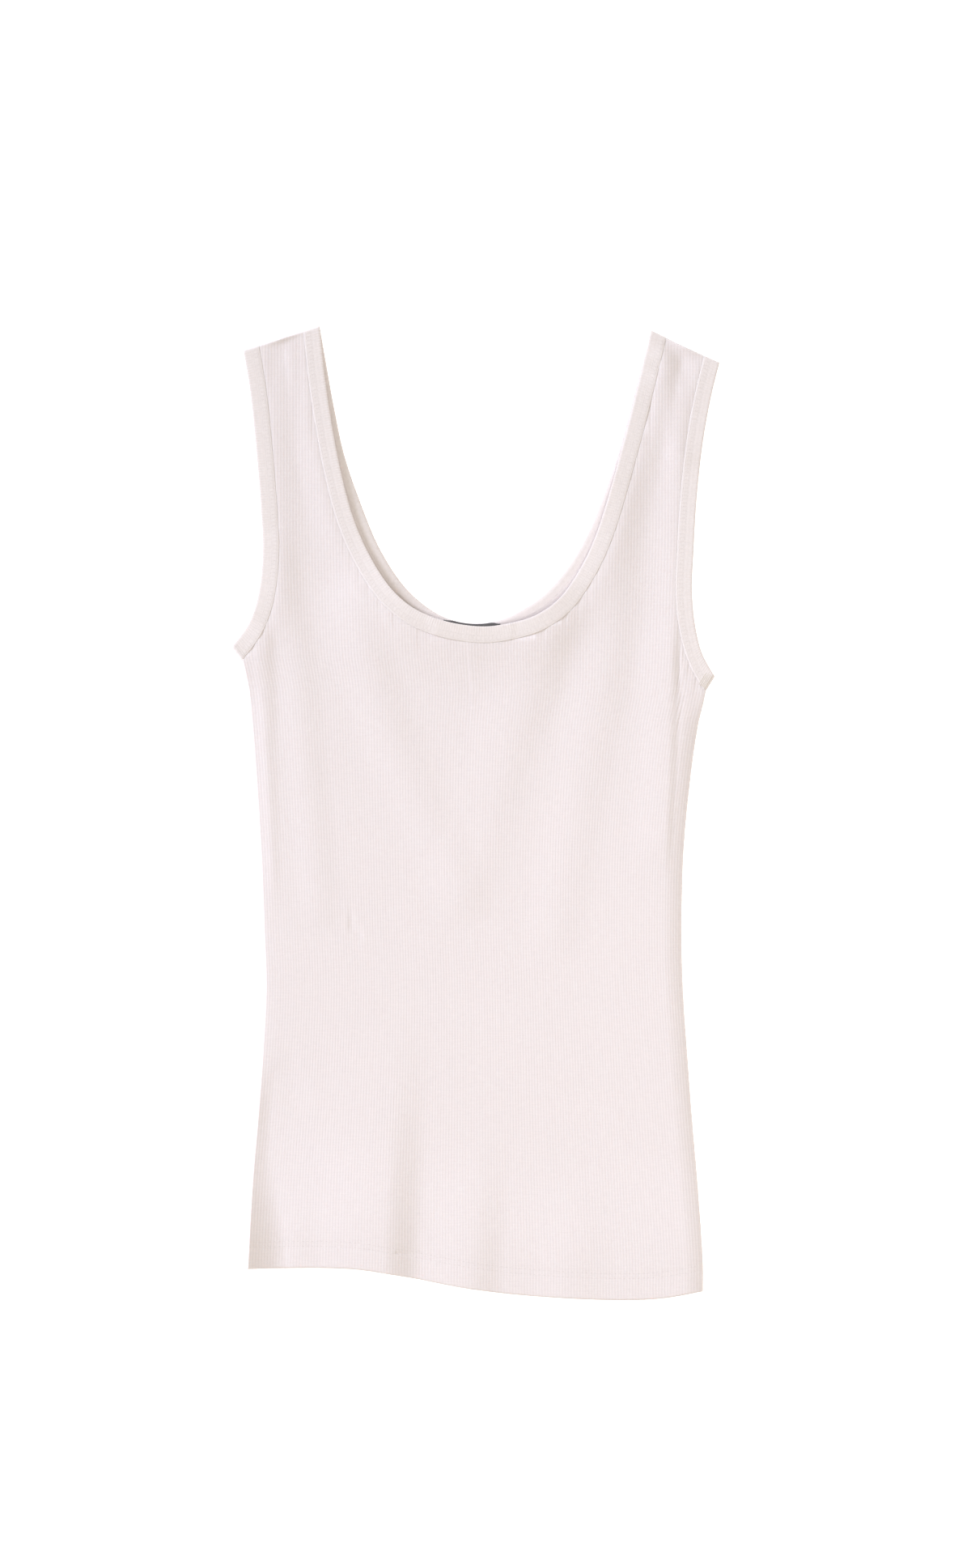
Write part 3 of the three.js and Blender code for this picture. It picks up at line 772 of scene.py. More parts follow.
@dataclass(frozen=True)
class FloorFinish:
    """A plain white surface that glows a little, as a light table does, so that it stays white."""

    name: str = "white_table"
    glow: float = 0.6

    def make(self) -> bpy.types.Material:
        """Builds the material and returns it."""
        tree = Tree(self.name)
        tree.constants(
            base_color=(0.93, 0.93, 0.93, 1), roughness=0.95, specular_ior_level=0.0,
            emission_color=(1, 1, 1, 1), emission_strength=self.glow,
        )
        return tree.material


# Making meshes


def flat_grid(columns: int, rows: int) -> bmesh.types.BMesh:
    """Makes a flat unit grid with a UV map.

    Args:
        columns: How many faces it has along X.
        rows: How many faces it has along Y.

    Returns:
        A new mesh from (-0.5, -0.5) to (0.5, 0.5).
    """
    bm = bmesh.new()
    bm.loops.layers.uv.new("UVMap")
    bmesh.ops.create_grid(bm, x_segments=columns, y_segments=rows, size=0.5, calc_uvs=True)
    return bm


def kept_mesh(bm: bmesh.types.BMesh, name: str) -> Mesh:
    """Keeps a working mesh under a name and returns it."""
    mesh = bpy.data.meshes.new(name)
    bm.to_mesh(mesh)
    bm.free()
    return mesh


def flat_slab(name: str, columns: int, rows: int) -> Mesh:
    """Makes a flat slab: a unit grid, with its second face one unit under the first.

    Args:
        name: The mesh's name.
        columns: How many faces the grid has along X.
        rows: How many faces it has along Y.

    Returns:
        The slab, with its faces not yet turned outwards.
    """
    bm = flat_grid(columns, rows)
    under = bmesh.ops.extrude_face_region(bm, geom=bm.faces[:], use_keep_orig=True)["geom"]
    lowered = [part for part in under if isinstance(part, bmesh.types.BMVert)]
    bmesh.ops.translate(bm, verts=lowered, vec=(0, 0, -1))
    return kept_mesh(bm, name)


def linked(name: str, data: bpy.types.ID) -> bpy.types.Object:
    """Puts data into the scene as an object of that name and returns it."""
    made = bpy.data.objects.new(name, data)
    bpy.context.scene.collection.objects.link(made)
    return made


def place_points(mesh: Mesh, place: Callable[[Array], Array]) -> None:
    """Moves a mesh's points.

    Args:
        mesh: The mesh.
        place: Takes the points as they are, one a row, and returns their places in millimetres.
    """
    points = np.empty(len(mesh.vertices) * 3)
    mesh.vertices.foreach_get("co", points)
    mesh.vertices.foreach_set("co", (place(points.reshape(-1, 3)) * MM).ravel())
    mesh.update()


def scale_uvs(mesh: Mesh, place: Callable[[Array], Array]) -> None:
    """Changes a mesh's UV map.

    Args:
        mesh: The mesh.
        place: Takes the UVs as they are, one a row, and returns the new ones.
    """
    layer = mesh.uv_layers["UVMap"].data
    uvs = np.empty(len(layer) * 2)
    layer.foreach_get("uv", uvs)
    layer.foreach_set("uv", place(uvs.reshape(-1, 2)).ravel())


def closed_up(mesh: Mesh, join: float = 1e-6) -> None:
    """Merges a mesh's doubled points and turns its faces outwards.

    Args:
        mesh: The mesh.
        join: Points nearer than this, in metres, are merged.
    """
    bm = bmesh.new()
    bm.from_mesh(mesh)
    bmesh.ops.remove_doubles(bm, verts=bm.verts[:], dist=join)
    bmesh.ops.recalc_face_normals(bm, faces=bm.faces[:])
    bm.to_mesh(mesh)
    bm.free()


def add_piece(name: str, mesh: Mesh, material: bpy.types.Material) -> bpy.types.Object:
    """Puts a finished mesh into the scene as a piece of the garment.

    Args:
        name: The piece's name.
        mesh: Its mesh, in place.
        material: Its finish.

    Returns:
        The piece, which rides on the garment.
    """
    mesh.name = name
    mesh.materials.clear()
    mesh.materials.append(material)
    mesh.polygons.foreach_set("use_smooth", np.ones(len(mesh.polygons), bool))
    piece = linked(name, mesh)
    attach(piece, "root")
    LOG.info("%s: %d triangles", name, sum(len(face.vertices) - 2 for face in mesh.polygons))
    return piece


def prism_of(outline: Array, low: float, high: float) -> Mesh:
    """Makes a straight-walled block over an outline, for cutting a panel.

    Args:
        outline: The outline's corners in order, in millimetres.
        low: The block's lowest z.
        high: Its highest z.

    Returns:
        The block.
    """
    bm = bmesh.new()
    corners = [bm.verts.new((x * MM, y * MM, low * MM)) for x, y in outline]
    foot = bm.faces.new(corners)
    up = bmesh.ops.extrude_face_region(bm, geom=[foot], use_keep_orig=True)["geom"]
    risen = [part for part in up if isinstance(part, bmesh.types.BMVert)]
    bmesh.ops.translate(bm, verts=risen, vec=(0, 0, (high - low) * MM))
    bmesh.ops.triangulate(bm, faces=bm.faces[:])
    bmesh.ops.recalc_face_normals(bm, faces=bm.faces[:])
    return kept_mesh(bm, "cutting_block")


def cut_to(mesh: Mesh, outline: Array) -> Mesh:
    """Cuts a closed mesh to an outline.

    Args:
        mesh: The mesh, which is used up.
        outline: The outline's corners in order, in millimetres.

    Returns:
        The part of the mesh inside the outline.
    """
    block, slab = linked("cutting_block", prism_of(outline, -5, 30)), linked("slab", mesh)
    cut = slab.modifiers.new("cut", "BOOLEAN")
    cut.operation, cut.solver, cut.object = "INTERSECT", "MANIFOLD", block
    made = bpy.data.meshes.new_from_object(slab.evaluated_get(bpy.context.evaluated_depsgraph_get()))
    for part in (slab, block):
        old = part.data
        bpy.data.objects.remove(part)
        bpy.data.meshes.remove(old)
    return made


# The panels


class RowFrom(Enum):
    """What a row of a panel's points is measured from."""

    HEM = "over the hem line"
    LEVEL = "a level of the garment"
    TOP = "under the straps' tops"


PanelRow = tuple[RowFrom, float]


def thinned(top: Array, low: Array, share: Array) -> tuple[Array, Array]:
    """Returns a wall's two faces drawn to its middle until a share of its thickness is left."""
    middle = (top + low) / 2
    return middle + (top - middle) * share, middle - (middle - low) * share


@dataclass(frozen=True)
class RibPanel:
    """A panel of rib knit: a closed slab with ribs on both faces, laid in place and cut to its outline."""

    ribs: int = 156
    points_a_rib: int = 4
    rise: float = 0.07  # how far a rib stands over the groove beside it
    needle_rows: tuple[float, float] = (13.9, 17.0)  # the hem's two rows of stitches, over its edge
    level_step: float = 10.0
    extra_levels: tuple[float, ...] = ()

    def rows(self) -> list[PanelRow]:
        """Lists the panel's rows of points from the hem to the straps' tops."""
        near_hem = [0, 0.1, 0.3, 0.6, 1.0, 1.6, 3.5, 7.0, 10.5]
        for needle in self.needle_rows:
            near_hem += [needle - 0.8, needle - 0.35, needle, needle + 0.35, needle + 0.8]
        near_hem += [18.6, 21.5, 25.5, 30.0, 35.0, 40.0]
        levels = sorted({*np.arange(-242, 243, self.level_step), *self.extra_levels})
        under_top = [38, 30, 23, 17, 12, 8.5, 6, 4.2, 3.0, 2.1, 1.4, 0.9, 0.5, 0.2, -1, -6]
        return (
            [(RowFrom.HEM, by) for by in near_hem]
            + [(RowFrom.LEVEL, float(by)) for by in levels]
            + [(RowFrom.TOP, by) for by in under_top]
        )

    def lay(self, u: Array, row: Array) -> tuple[Array, Array]:
        """Finds where points of the flat grid lie in plan.

        Args:
            u: How far across the panel, from 0 at the left side to 1 at the right.
            row: The number of the row of each point.

        Returns:
            x and y.
        """
        rows = self.rows()
        by = np.array([b for _, b in rows])[row]
        kind = np.array([list(RowFrom).index(k) for k, _ in rows])[row]
        over_hem = hem_line(SIDE_LEFT[0][1] + u * (SIDE_RIGHT[0][1] - SIDE_LEFT[0][1])) + by
        top = shoulder_line(SIDE_LEFT[-1][1] + u * (SIDE_RIGHT[-1][1] - SIDE_LEFT[-1][1])) - by
        y = np.choose(kind, [over_hem, by, top])
        left, right = side_left(y), side_right(y)
        return left + u * (right - left), y

    def ridge(self, u: Array) -> Array:
        """Returns the share of a rib's rise across the panel."""
        return np.abs(np.sin(math.pi * self.ribs * u)) ** 0.65

    def needles(self, over_hem: Array, x: Array) -> Array:
        """Returns how much the hem's stitches pull the cloth in, from 0 to 1, and most at each stitch."""
        pull = sum(bell((over_hem - needle) / 0.8) for needle in self.needle_rows)
        return pull * (0.85 + 0.15 * np.cos(2 * math.pi * x / 3.0))

    def heights(self, x: Array, y: Array, u: Array) -> tuple[Array, Array]:
        """Measures the heights of the panel's two faces at places. Each panel has its own."""
        raise NotImplementedError

    def make(self, neck: Route) -> Mesh:
        """Builds the panel.

        Args:
            neck: The neck route that it is cut to.

        Returns:
            The closed mesh.
        """
        last = len(self.rows()) - 1
        mesh = flat_slab("slab", self.ribs * self.points_a_rib, last)

        def place(points: Array) -> Array:
            """Lays the slab's points in place."""
            u, row = points[:, 0] + 0.5, np.rint((points[:, 1] + 0.5) * last).astype(int)
            x, y = self.lay(u, row)
            upper, lower = self.heights(x, y, u)
            return np.stack([x, y, np.where(points[:, 2] > -0.5, upper, lower)], axis=1)

        def ribs_and_mm(uvs: Array) -> Array:
            """Returns the UVs in ribs and millimetres."""
            _, y = self.lay(uvs[:, 0], np.rint(uvs[:, 1] * last).astype(int))
            return np.stack([uvs[:, 0] * self.ribs, y], axis=1)

        place_points(mesh, place)
        scale_uvs(mesh, ribs_and_mm)
        closed_up(mesh, 1e-9)
        return cut_to(mesh, panel_outline(neck))


@dataclass(frozen=True)
class FrontPanel(RibPanel):
    """The front, which lies over the back in soft flutes."""

    extra_levels: tuple[float, ...] = (-80.0, -78.0, -76.0, -72.0, -70.0)
    lie: FrontLie = FrontLie()
    loft: float = 0.3  # how much thicker the ribs make the cloth
    dip: float = 0.07  # how far it is pulled down where it enters a band
    seat: float = 0.45  # how far over a band's underside its own lies there
    tuck: float = 0.4  # how much lower its top lies farther in
    tucked: Place = (1.8, 1.2)  # how far in from the seam that is so, and over what length
    stitch_dip: float = 0.04  # how far the hem's stitches pull it in

    def heights(self, x: Array, y: Array, u: Array) -> tuple[Array, Array]:
        """Measures the front's outer and inner face.

        Args:
            x, y: The places.
            u: How far across the panel they are.

        Returns:
            The heights of the upper and of the lower face.
        """
        bound = in_bands(Route.FRONT_NECK, x, y)
        under = self.lie.underside(x, y)
        under = under + bound * (band_underside(x, y, True) + self.seat - under)
        over_hem = y - hem_line(x)
        groove = self.rise * (1 - self.ridge(u))
        double = (over_hem < HEM_DEPTH + 0.3) * HEM_STEP
        pulled = self.stitch_dip * self.needles(over_hem, x) + self.dip * bound
        hidden = in_bands(Route.FRONT_NECK, x, y, *self.tucked)
        top = under + CLOTH + self.loft - groove - pulled - self.tuck * hidden
        low = under - double + groove
        top, low = thinned(top, low, rolled(over_hem, 1.1))
        hem_share = 1 - smooth((over_hem - HEM_DEPTH) / HEM_SLOPE)
        joint = 1.33 + 1.1 * hem_share + curl(x, y)
        roll = np.minimum(rolled(side_room(x, y), 0.9), rolled(inside_shoulders(x, y) - 0.2, 1.5))
        top = joint + (top - joint) * roll + 0.05
        return top, np.minimum(low, top - 0.1)


@dataclass(frozen=True)
class BackPanel(RibPanel):
    """The back, which lies flat on the surface under the front."""

    level_step: float = 12.0

    def heights(self, x: Array, y: Array, u: Array) -> tuple[Array, Array]:
        """Measures the back's inner face, which is up, and its outer face on the surface.

        Args:
            x, y: The places.
            u: How far across the panel they are.

        Returns:
            The heights of the upper and of the lower face.
        """
        over_hem = y - hem_line(x)
        groove = self.rise * (1 - self.ridge(u))
        double = (over_hem < HEM_DEPTH + 0.3) * HEM_STEP
        pulled = in_bands(Route.BACK_NECK, x, y)
        lift = np.maximum(0, crest_heights(BACK_CREASES, x, y)) * smooth(side_room(x, y) / SIDE_FADE)
        low = groove + 0.5 * pulled + lift * (1 - pulled) + 0.25 * self.needles(over_hem, x)
        top = CLOTH + double - groove * 0.5 - 0.1 * pulled
        top, low = thinned(top, low, rolled(over_hem, 1.0))
        lifted = curl(x, y)
        top, low = top + lifted, low + lifted
        joint = 1.2 + 0.9 * (1 - smooth((over_hem - HEM_DEPTH) / HEM_SLOPE)) + lifted
        roll = np.minimum(rolled(side_room(x, y), 1.2), rolled(inside_shoulders(x, y) - 0.2, 2.4))
        low = joint - (joint - low) * roll - 0.05
        return np.maximum(np.minimum(top, joint + (top - joint) * roll), low + 0.1), low


# The bands and the stitching

# A band's section as (millimetres from the free edge, share of the thickness from the inner face to the
# outer one, outward direction across, outward direction up). It runs round the section once.
BAND_SECTION: Rows = [
    (0.0, 0.50, -1.0, 0.0), (0.0, 0.94, -1.0, 0.0), (0.02, 0.985, -0.6, 0.8), (0.08, 1.0, 0.0, 1.0),
    (1.2, 1.0, 0.0, 1.0), (3.4, 1.0, 0.0, 1.0), (5.1, 0.98, 0.0, 1.0), (5.9, 0.965, 0.0, 1.0),
    (6.7, 0.975, 0.0, 1.0), (8.5, 0.97, 0.0, 1.0), (9.2, 0.96, 0.0, 1.0), (9.9, 0.945, 0.0, 1.0),
    (10.2, 0.93, 0.0, 1.0), (10.45, 0.90, 0.3, 0.9), (10.5, 0.50, 1.0, 0.0), (10.4, 0.15, 0.8, -0.6),
    (9.8, 0.03, 0.2, -0.9), (9.2, 0.07, 0.0, -1.0), (7.6, 0.02, 0.0, -1.0), (5.9, 0.06, 0.0, -1.0),
    (4.6, 0.01, 0.0, -1.0), (2.4, 0.0, 0.0, -1.0), (0.7, 0.03, -0.4, -0.9), (0.14, 0.20, -0.8, -0.6),
]
NEEDLES_ON_BAND = (5.9, 9.2)


@dataclass(frozen=True)
class Band:
    """A binding: a folded strip that runs along the front, over its end fold and back along the back.

    The path is kept as four corner lines a station: the inner and the outer face at the free edge and at
    the seam.
    """

    name: str
    front: Route
    back: Route
    rib_pitch: float = 1.62
    relief: float = 0.11
    back_tilt: float = 0.15  # how much lower the back's strip lies at its seam
    bunches: Place = (-26.5, 21.5)  # where the front strip bunches over the label's ends
    bunch_reach: float = 5.0
    bunch_depth: float = 0.6

    @property
    def is_neck(self) -> bool:
        """Whether this is the neck's band."""
        return self.front is Route.FRONT_NECK

    def fine(self, route: Route) -> tuple[Array, Array]:
        """Returns a route's free edge and seam at close stations."""
        edge, seam = route.lines(FOLD_OUTER)
        middle = (edge + seam) / 2
        at = np.linspace(0, len(edge) - 1, int(run_along(middle)[-1] / 0.3))
        return between(edge, at), between(seam, at)

    def turn_over(self, front: tuple[Array, ...], back: tuple[Array, ...], fold: FoldLine,
                  at: int, inward: int) -> list[Array]:
        """Carries the strip round the fold at one end, from the front to the back.

        Args:
            front: The front's free edge and seam.
            back: The back's free edge and seam.
            fold: The fold line.
            at: The station at the end.
            inward: The station next to it.

        Returns:
            Stations of four corners each.
        """
        made = []
        for turn in np.linspace(0, math.pi, 26)[1:-1]:
            corners = []
            for radius in (FOLD_INNER, FOLD_OUTER):
                reach, z = math.sin(turn) * radius, FOLD_AXIS_Z + math.cos(turn) * radius
                for lines in zip(front, back):
                    ends = []
                    for line in lines:
                        along = unit(line[at] - line[inward])
                        ends.append(line[at] + along * reach / (along @ fold.out))
                    share = turn / math.pi
                    corners.append([*(ends[0] * (1 - share) + ends[1] * share), z])
            made.append(np.array(corners))
        return made

    def path(self) -> Array:
        """Lays the whole closed strip.

        Returns:
            Stations by four corners by x, y, z: inner edge, inner seam, outer edge, outer seam. The last
            station is the first again.
        """
        front, back = self.fine(self.front), self.fine(self.back)
        bottoms = [band_underside(line[:, 0], line[:, 1], self.is_neck) for line in front]

        def level(lines: tuple[Array, ...], *faces: list[Array]) -> Array:
            """Joins lines in plan and their heights to stations."""
            return np.stack(
                [np.column_stack([line, z]) for heights in faces for line, z in zip(lines, heights)], axis=1
            )

        flat = np.ones(len(back[0]))
        over = level(front, bottoms, [bottom + BAND_THICKNESS for bottom in bottoms])
        inner = [flat * BACK_BAND_TOP, flat * (BACK_BAND_TOP - self.back_tilt)]
        under = level(back, inner, [flat * 0] * 2)[::-1]
        *_, start, end = self.front.value
        end_turn = self.turn_over(front, back, end, -1, -8)
        start_turn = self.turn_over(front, back, start, 0, 7)[::-1]
        stations = np.concatenate([over, end_turn, under, start_turn, over[:1]])
        run = run_along(stations[:, 2:].mean(1))
        count = 4 * round(run[-1] / self.rib_pitch)
        at = np.linspace(0, run[-1], count + 1)
        flat_rows = stations.reshape(len(stations), -1)
        return np.stack([np.interp(at, run, c) for c in flat_rows.T], axis=1).reshape(-1, 4, 3)

    @staticmethod
    def on(stations: Array, across: Array, share: Array) -> Array:
        """Finds points of the strip.

        Args:
            stations: Four corners for each point.
            across: Millimetres from the free edge.
            share: Share of the thickness, from the inner face to the outer one.

        Returns:
            One point a station.
        """
        w, h = (across / BAND_WIDTH)[:, None], share[:, None]
        inner = stations[:, 0] * (1 - w) + stations[:, 1] * w
        outer = stations[:, 2] * (1 - w) + stations[:, 3] * w
        return inner * (1 - h) + outer * h

    def gathers(self, x: Array, z: Array) -> Array:
        """Returns how much deeper the cross ribs are where the front band bunches over the label's ends."""
        if not self.is_neck:
            return np.ones(len(x))
        bunch = sum(bell((x - centre) / self.bunch_reach) for centre in self.bunches)
        return 1 + self.bunch_depth * bunch * (z > FRONT_BAND_BOTTOM)

    def make(self) -> Mesh:
        """Builds the band as a closed mesh and returns it."""
        path, section = self.path(), np.array(BAND_SECTION, float)
        count, around = len(path) - 1, len(section)
        mesh = kept_mesh(flat_grid(around, count), self.name)
        length = count / 4 * self.rib_pitch

        def place(points: Array) -> Array:
            """Lays the grid's points round the band's section."""
            corner = np.rint((points[:, 0] + 0.5) * around).astype(int) % around
            station = np.rint((points[:, 1] + 0.5) * count).astype(int) % count
            across, share, out, up = section[corner].T
            here = path[station]
            depth = self.relief * np.array([1.0, 0.3, 0.0, 0.3])[station % 4]
            depth = depth * self.gathers(here[:, 2, 0], here[:, 2, 2]) * np.where(up < 0, 0.7, 1.0)
            depth = depth * (1 - 0.7 * smooth((across - 4.0) / 1.5))
            return self.on(here, across - out * depth, share - up * depth / BAND_THICKNESS)

        place_points(mesh, place)
        scale_uvs(mesh, lambda uvs: uvs * [2 * BAND_WIDTH, length])
        closed_up(mesh, 1e-7)
        return mesh


def joined_grains(name: str, centres: Array, along: Array, up: Array, half: Array,
                  radius: Array, flatness: float = 0.4) -> Mesh:
    """Joins many short threads into one mesh, each a stretched ball.

    Args:
        name: The mesh's name.
        centres: The threads' middles, in millimetres.
        along: Their directions.
        up: The directions away from the cloth.
        half: Half of each length.
        radius: Half of each width.
        flatness: A thread's height over its width, since the cloth squeezes it flat.

    Returns:
        The mesh.
    """
    bm = bmesh.new()
    bmesh.ops.create_uvsphere(bm, u_segments=6, v_segments=5, radius=1)
    bmesh.ops.triangulate(bm, faces=bm.faces[:])
    ball = np.array([v.co for v in bm.verts])
    faces = np.array([[v.index for v in f.verts] for f in bm.faces])
    bm.free()
    along = unit(along)
    side = unit(np.cross(up, along))
    upright = np.cross(along, side)
    points = (
        centres[:, None]
        + ball[None, :, 2:3] * (along * half[:, None])[:, None]
        + ball[None, :, 0:1] * (side * radius[:, None])[:, None]
        + ball[None, :, 1:2] * (upright * radius[:, None] * flatness)[:, None]
    )
    every = faces[None] + len(ball) * np.arange(len(centres))[:, None, None]
    mesh = bpy.data.meshes.new(name)
    mesh.from_pydata((points.reshape(-1, 3) * MM).tolist(), [], every.reshape(-1, 3).tolist())
    closed_up(mesh, 0.0)
    return mesh


@dataclass(frozen=True)
class CoverStitch:
    """The stitching of a band: two needle rows, and looper threads that cross between them in diamonds."""

    pitch: float = 2.6
    thread: float = 0.11
    looper: float = 0.07
    fill: float = 0.47  # half a thread's length, as a share of its stitch
    depths: tuple[float, float, float] = (0.955, 0.97, 0.05)  # needle, looper and under threads in the strip

    def make(self, band: Band) -> Mesh:
        """Sews a band.

        Args:
            band: The band that is sewn.

        Returns:
            The joined threads.
        """
        path = band.path()
        count = len(path) - 1
        step = round(self.pitch / (band.rib_pitch / 4))
        first = np.arange(0, count - step, step)
        threads: list[tuple[Array, ...]] = []

        def sew(end: Array, w0: float, w1: float, share: float, radius: float) -> None:
            """Adds a row of threads that run from the first stations to others."""
            size = np.ones(len(first))
            a = band.on(path[first % count], w0 * size, share * size)
            b = band.on(path[end % count], w1 * size, share * size)
            here = path[((first + end) // 2) % count]
            up = (here[:, 2] - here[:, 0]) * (1 if share > 0.5 else -1)
            length = np.linalg.norm(b - a, axis=1)
            threads.append(((a + b) / 2, b - a, up, length * self.fill, radius * size))

        row_a, row_b = NEEDLES_ON_BAND
        needle, looper, under = self.depths
        for row in (row_a, row_b):
            sew(first + step, row, row, needle, self.thread)
        half = step // 2
        for w0, w1 in ((row_a, row_b), (row_b, row_a)):
            sew(first + half, w0, w1, looper, self.looper)
            sew(first + step, w0, w0, under, self.thread)
        return joined_grains(f"{band.name}_stitches", *(np.concatenate(part) for part in zip(*threads)))


@dataclass(frozen=True)
class UnderarmJoin:
    """The short seam that closes an armhole's band at the underarm: rows of stitches across its end."""

    rows: int = 3
    first_row: float = 1.7  # from the underarm's fold
    row_pitch: float = 1.1
    pitch: float = 1.3
    thread: float = 0.17
    ends: Place = (1.2, 0.6)  # how far from the free corner and from the sewn one a row stops
    lean: float = 0.3
    sunk: float = 0.06  # how deep its threads lie in the cloth

    def make(self, name: str, fold: FoldLine) -> Mesh:
        """Sews across a band's end.

        Args:
            name: The mesh's name.
            fold: The underarm's fold.

        Returns:
            The joined threads.
        """
        length = float(np.linalg.norm(np.subtract(fold.seam, fold.edge)))
        rows = self.first_row + self.row_pitch * np.arange(self.rows)
        stitches = np.arange(self.ends[0], length - self.ends[1], self.pitch)
        along, down = (part.ravel() for part in np.meshgrid(stitches, rows))
        centres = np.array(fold.edge) + along[:, None] * fold.along - down[:, None] * fold.out
        bend = np.clip(1 - down / FOLD_OUTER, 0, 1)
        z = FOLD_AXIS_Z + FOLD_OUTER * np.sqrt(1 - bend**2) - self.sunk
        lean = np.where(np.rint(along / self.pitch).astype(int) % 2, self.lean, -self.lean)
        run = fold.along + lean[:, None] * fold.out
        size, up = np.ones(len(z)), np.tile([0.0, 0.0, 1.0], (len(z), 1))
        return joined_grains(name, np.column_stack([centres, z]), np.column_stack([run, 0 * z]), up,
                             size * self.pitch * 0.55, size * self.thread)


@dataclass(frozen=True)
class HemStitch:
    """The hem's two rows of short stitches, on the front's outside and on the back's."""

    pitch: float = 3.0
    length: float = 1.7
    thread: float = 0.13
    from_sides: float = 2.5  # how far inside the side seams the rows stop
    sunk: Place = (0.03, 0.02)  # how deep its threads lie in the upper and in the lower face

    def make(self, name: str, panel: RibPanel, upper: bool) -> Mesh:
        """Sews a panel's hem.

        Args:
            name: The mesh's name.
            panel: The panel that is sewn.
            upper: Whether the stitches show on the upper face.

        Returns:
            The joined threads.
        """
        left, right = SIDE_LEFT[0][1] + self.from_sides, SIDE_RIGHT[0][1] - self.from_sides
        x = np.tile(np.arange(left, right, self.pitch), 2)
        rows = np.repeat(panel.needle_rows, len(x) // 2)

        def surface(at: Array) -> Array:
            """Returns the stitches' ends on the panel at an x."""
            y = hem_line(at) + rows
            u = (at - side_left(y)) / (side_right(y) - side_left(y))
            top, low = panel.heights(at, y, np.round(u * panel.ribs - 0.5) / panel.ribs + 0.5 / panel.ribs)
            z = top - self.sunk[0] if upper else np.maximum(low, self.thread) - self.sunk[1]
            return np.column_stack([at, y, z])

        a, b = surface(x - self.length / 2), surface(x + self.length / 2)
        size = np.ones(len(x))
        up = np.tile([0.0, 0.0, 1.0 if upper else -1.0], (len(x), 1))
        return joined_grains(name, (a + b) / 2, b - a, up, size * self.length / 2, size * self.thread)


@dataclass(frozen=True)
class NeckLabel:
    """The plain tape inside the back neck, of which a sliver shows between the two bands."""

    depth: float = 11.5
    thickness: float = 0.5
    inset: float = 0.45
    corners: tuple[float, float] = (1.5, 2.4)  # how far its upper corners, left and right, are rounded down
    corner_reach: float = 7.0
    rounding: float = 0.6  # how far its edges are rounded
    edge_share: float = 0.35  # the share of its thickness that is left at an edge

    def make(self) -> Mesh:
        """Builds the label, whose top edge follows the neck, and returns it."""
        top = smooth_line(BACK_NECK, 400)
        top = top[(top[:, 0] >= LABEL_LEFT) & (top[:, 0] <= LABEL_RIGHT) & (top[:, 1] < 140)]
        columns = len(top) - 1
        mesh = flat_slab("neck_tape", columns, 12)

        def place(points: Array) -> Array:
            """Lays the slab's points under the back neck."""
            along = np.rint((points[:, 0] + 0.5) * columns).astype(int)
            down = (0.5 - points[:, 1]) * self.depth
            edge = np.minimum(down, self.depth - down)
            ends = np.minimum(along, columns - along) * 1.2
            body = np.minimum(rolled(edge, self.rounding), rolled(ends, self.rounding))
            middle = BACK_BAND_TOP + SEAM_GAP + self.thickness / 2
            share = self.edge_share + (1 - self.edge_share) * body
            half = self.thickness / 2 * share * np.where(points[:, 2] > -0.5, 1, -1)
            from_ends = (top[along, 0] - LABEL_LEFT, LABEL_RIGHT - top[along, 0])
            cut = sum(c * (1 - smooth(d / self.corner_reach)) for c, d in zip(self.corners, from_ends))
            inset = self.inset + cut * (1 - down / self.depth)
            return np.stack([top[along, 0], top[along, 1] - inset - down, middle + half], axis=1)

        place_points(mesh, place)
        closed_up(mesh, 1e-9)
        return mesh


# The studio and the garment


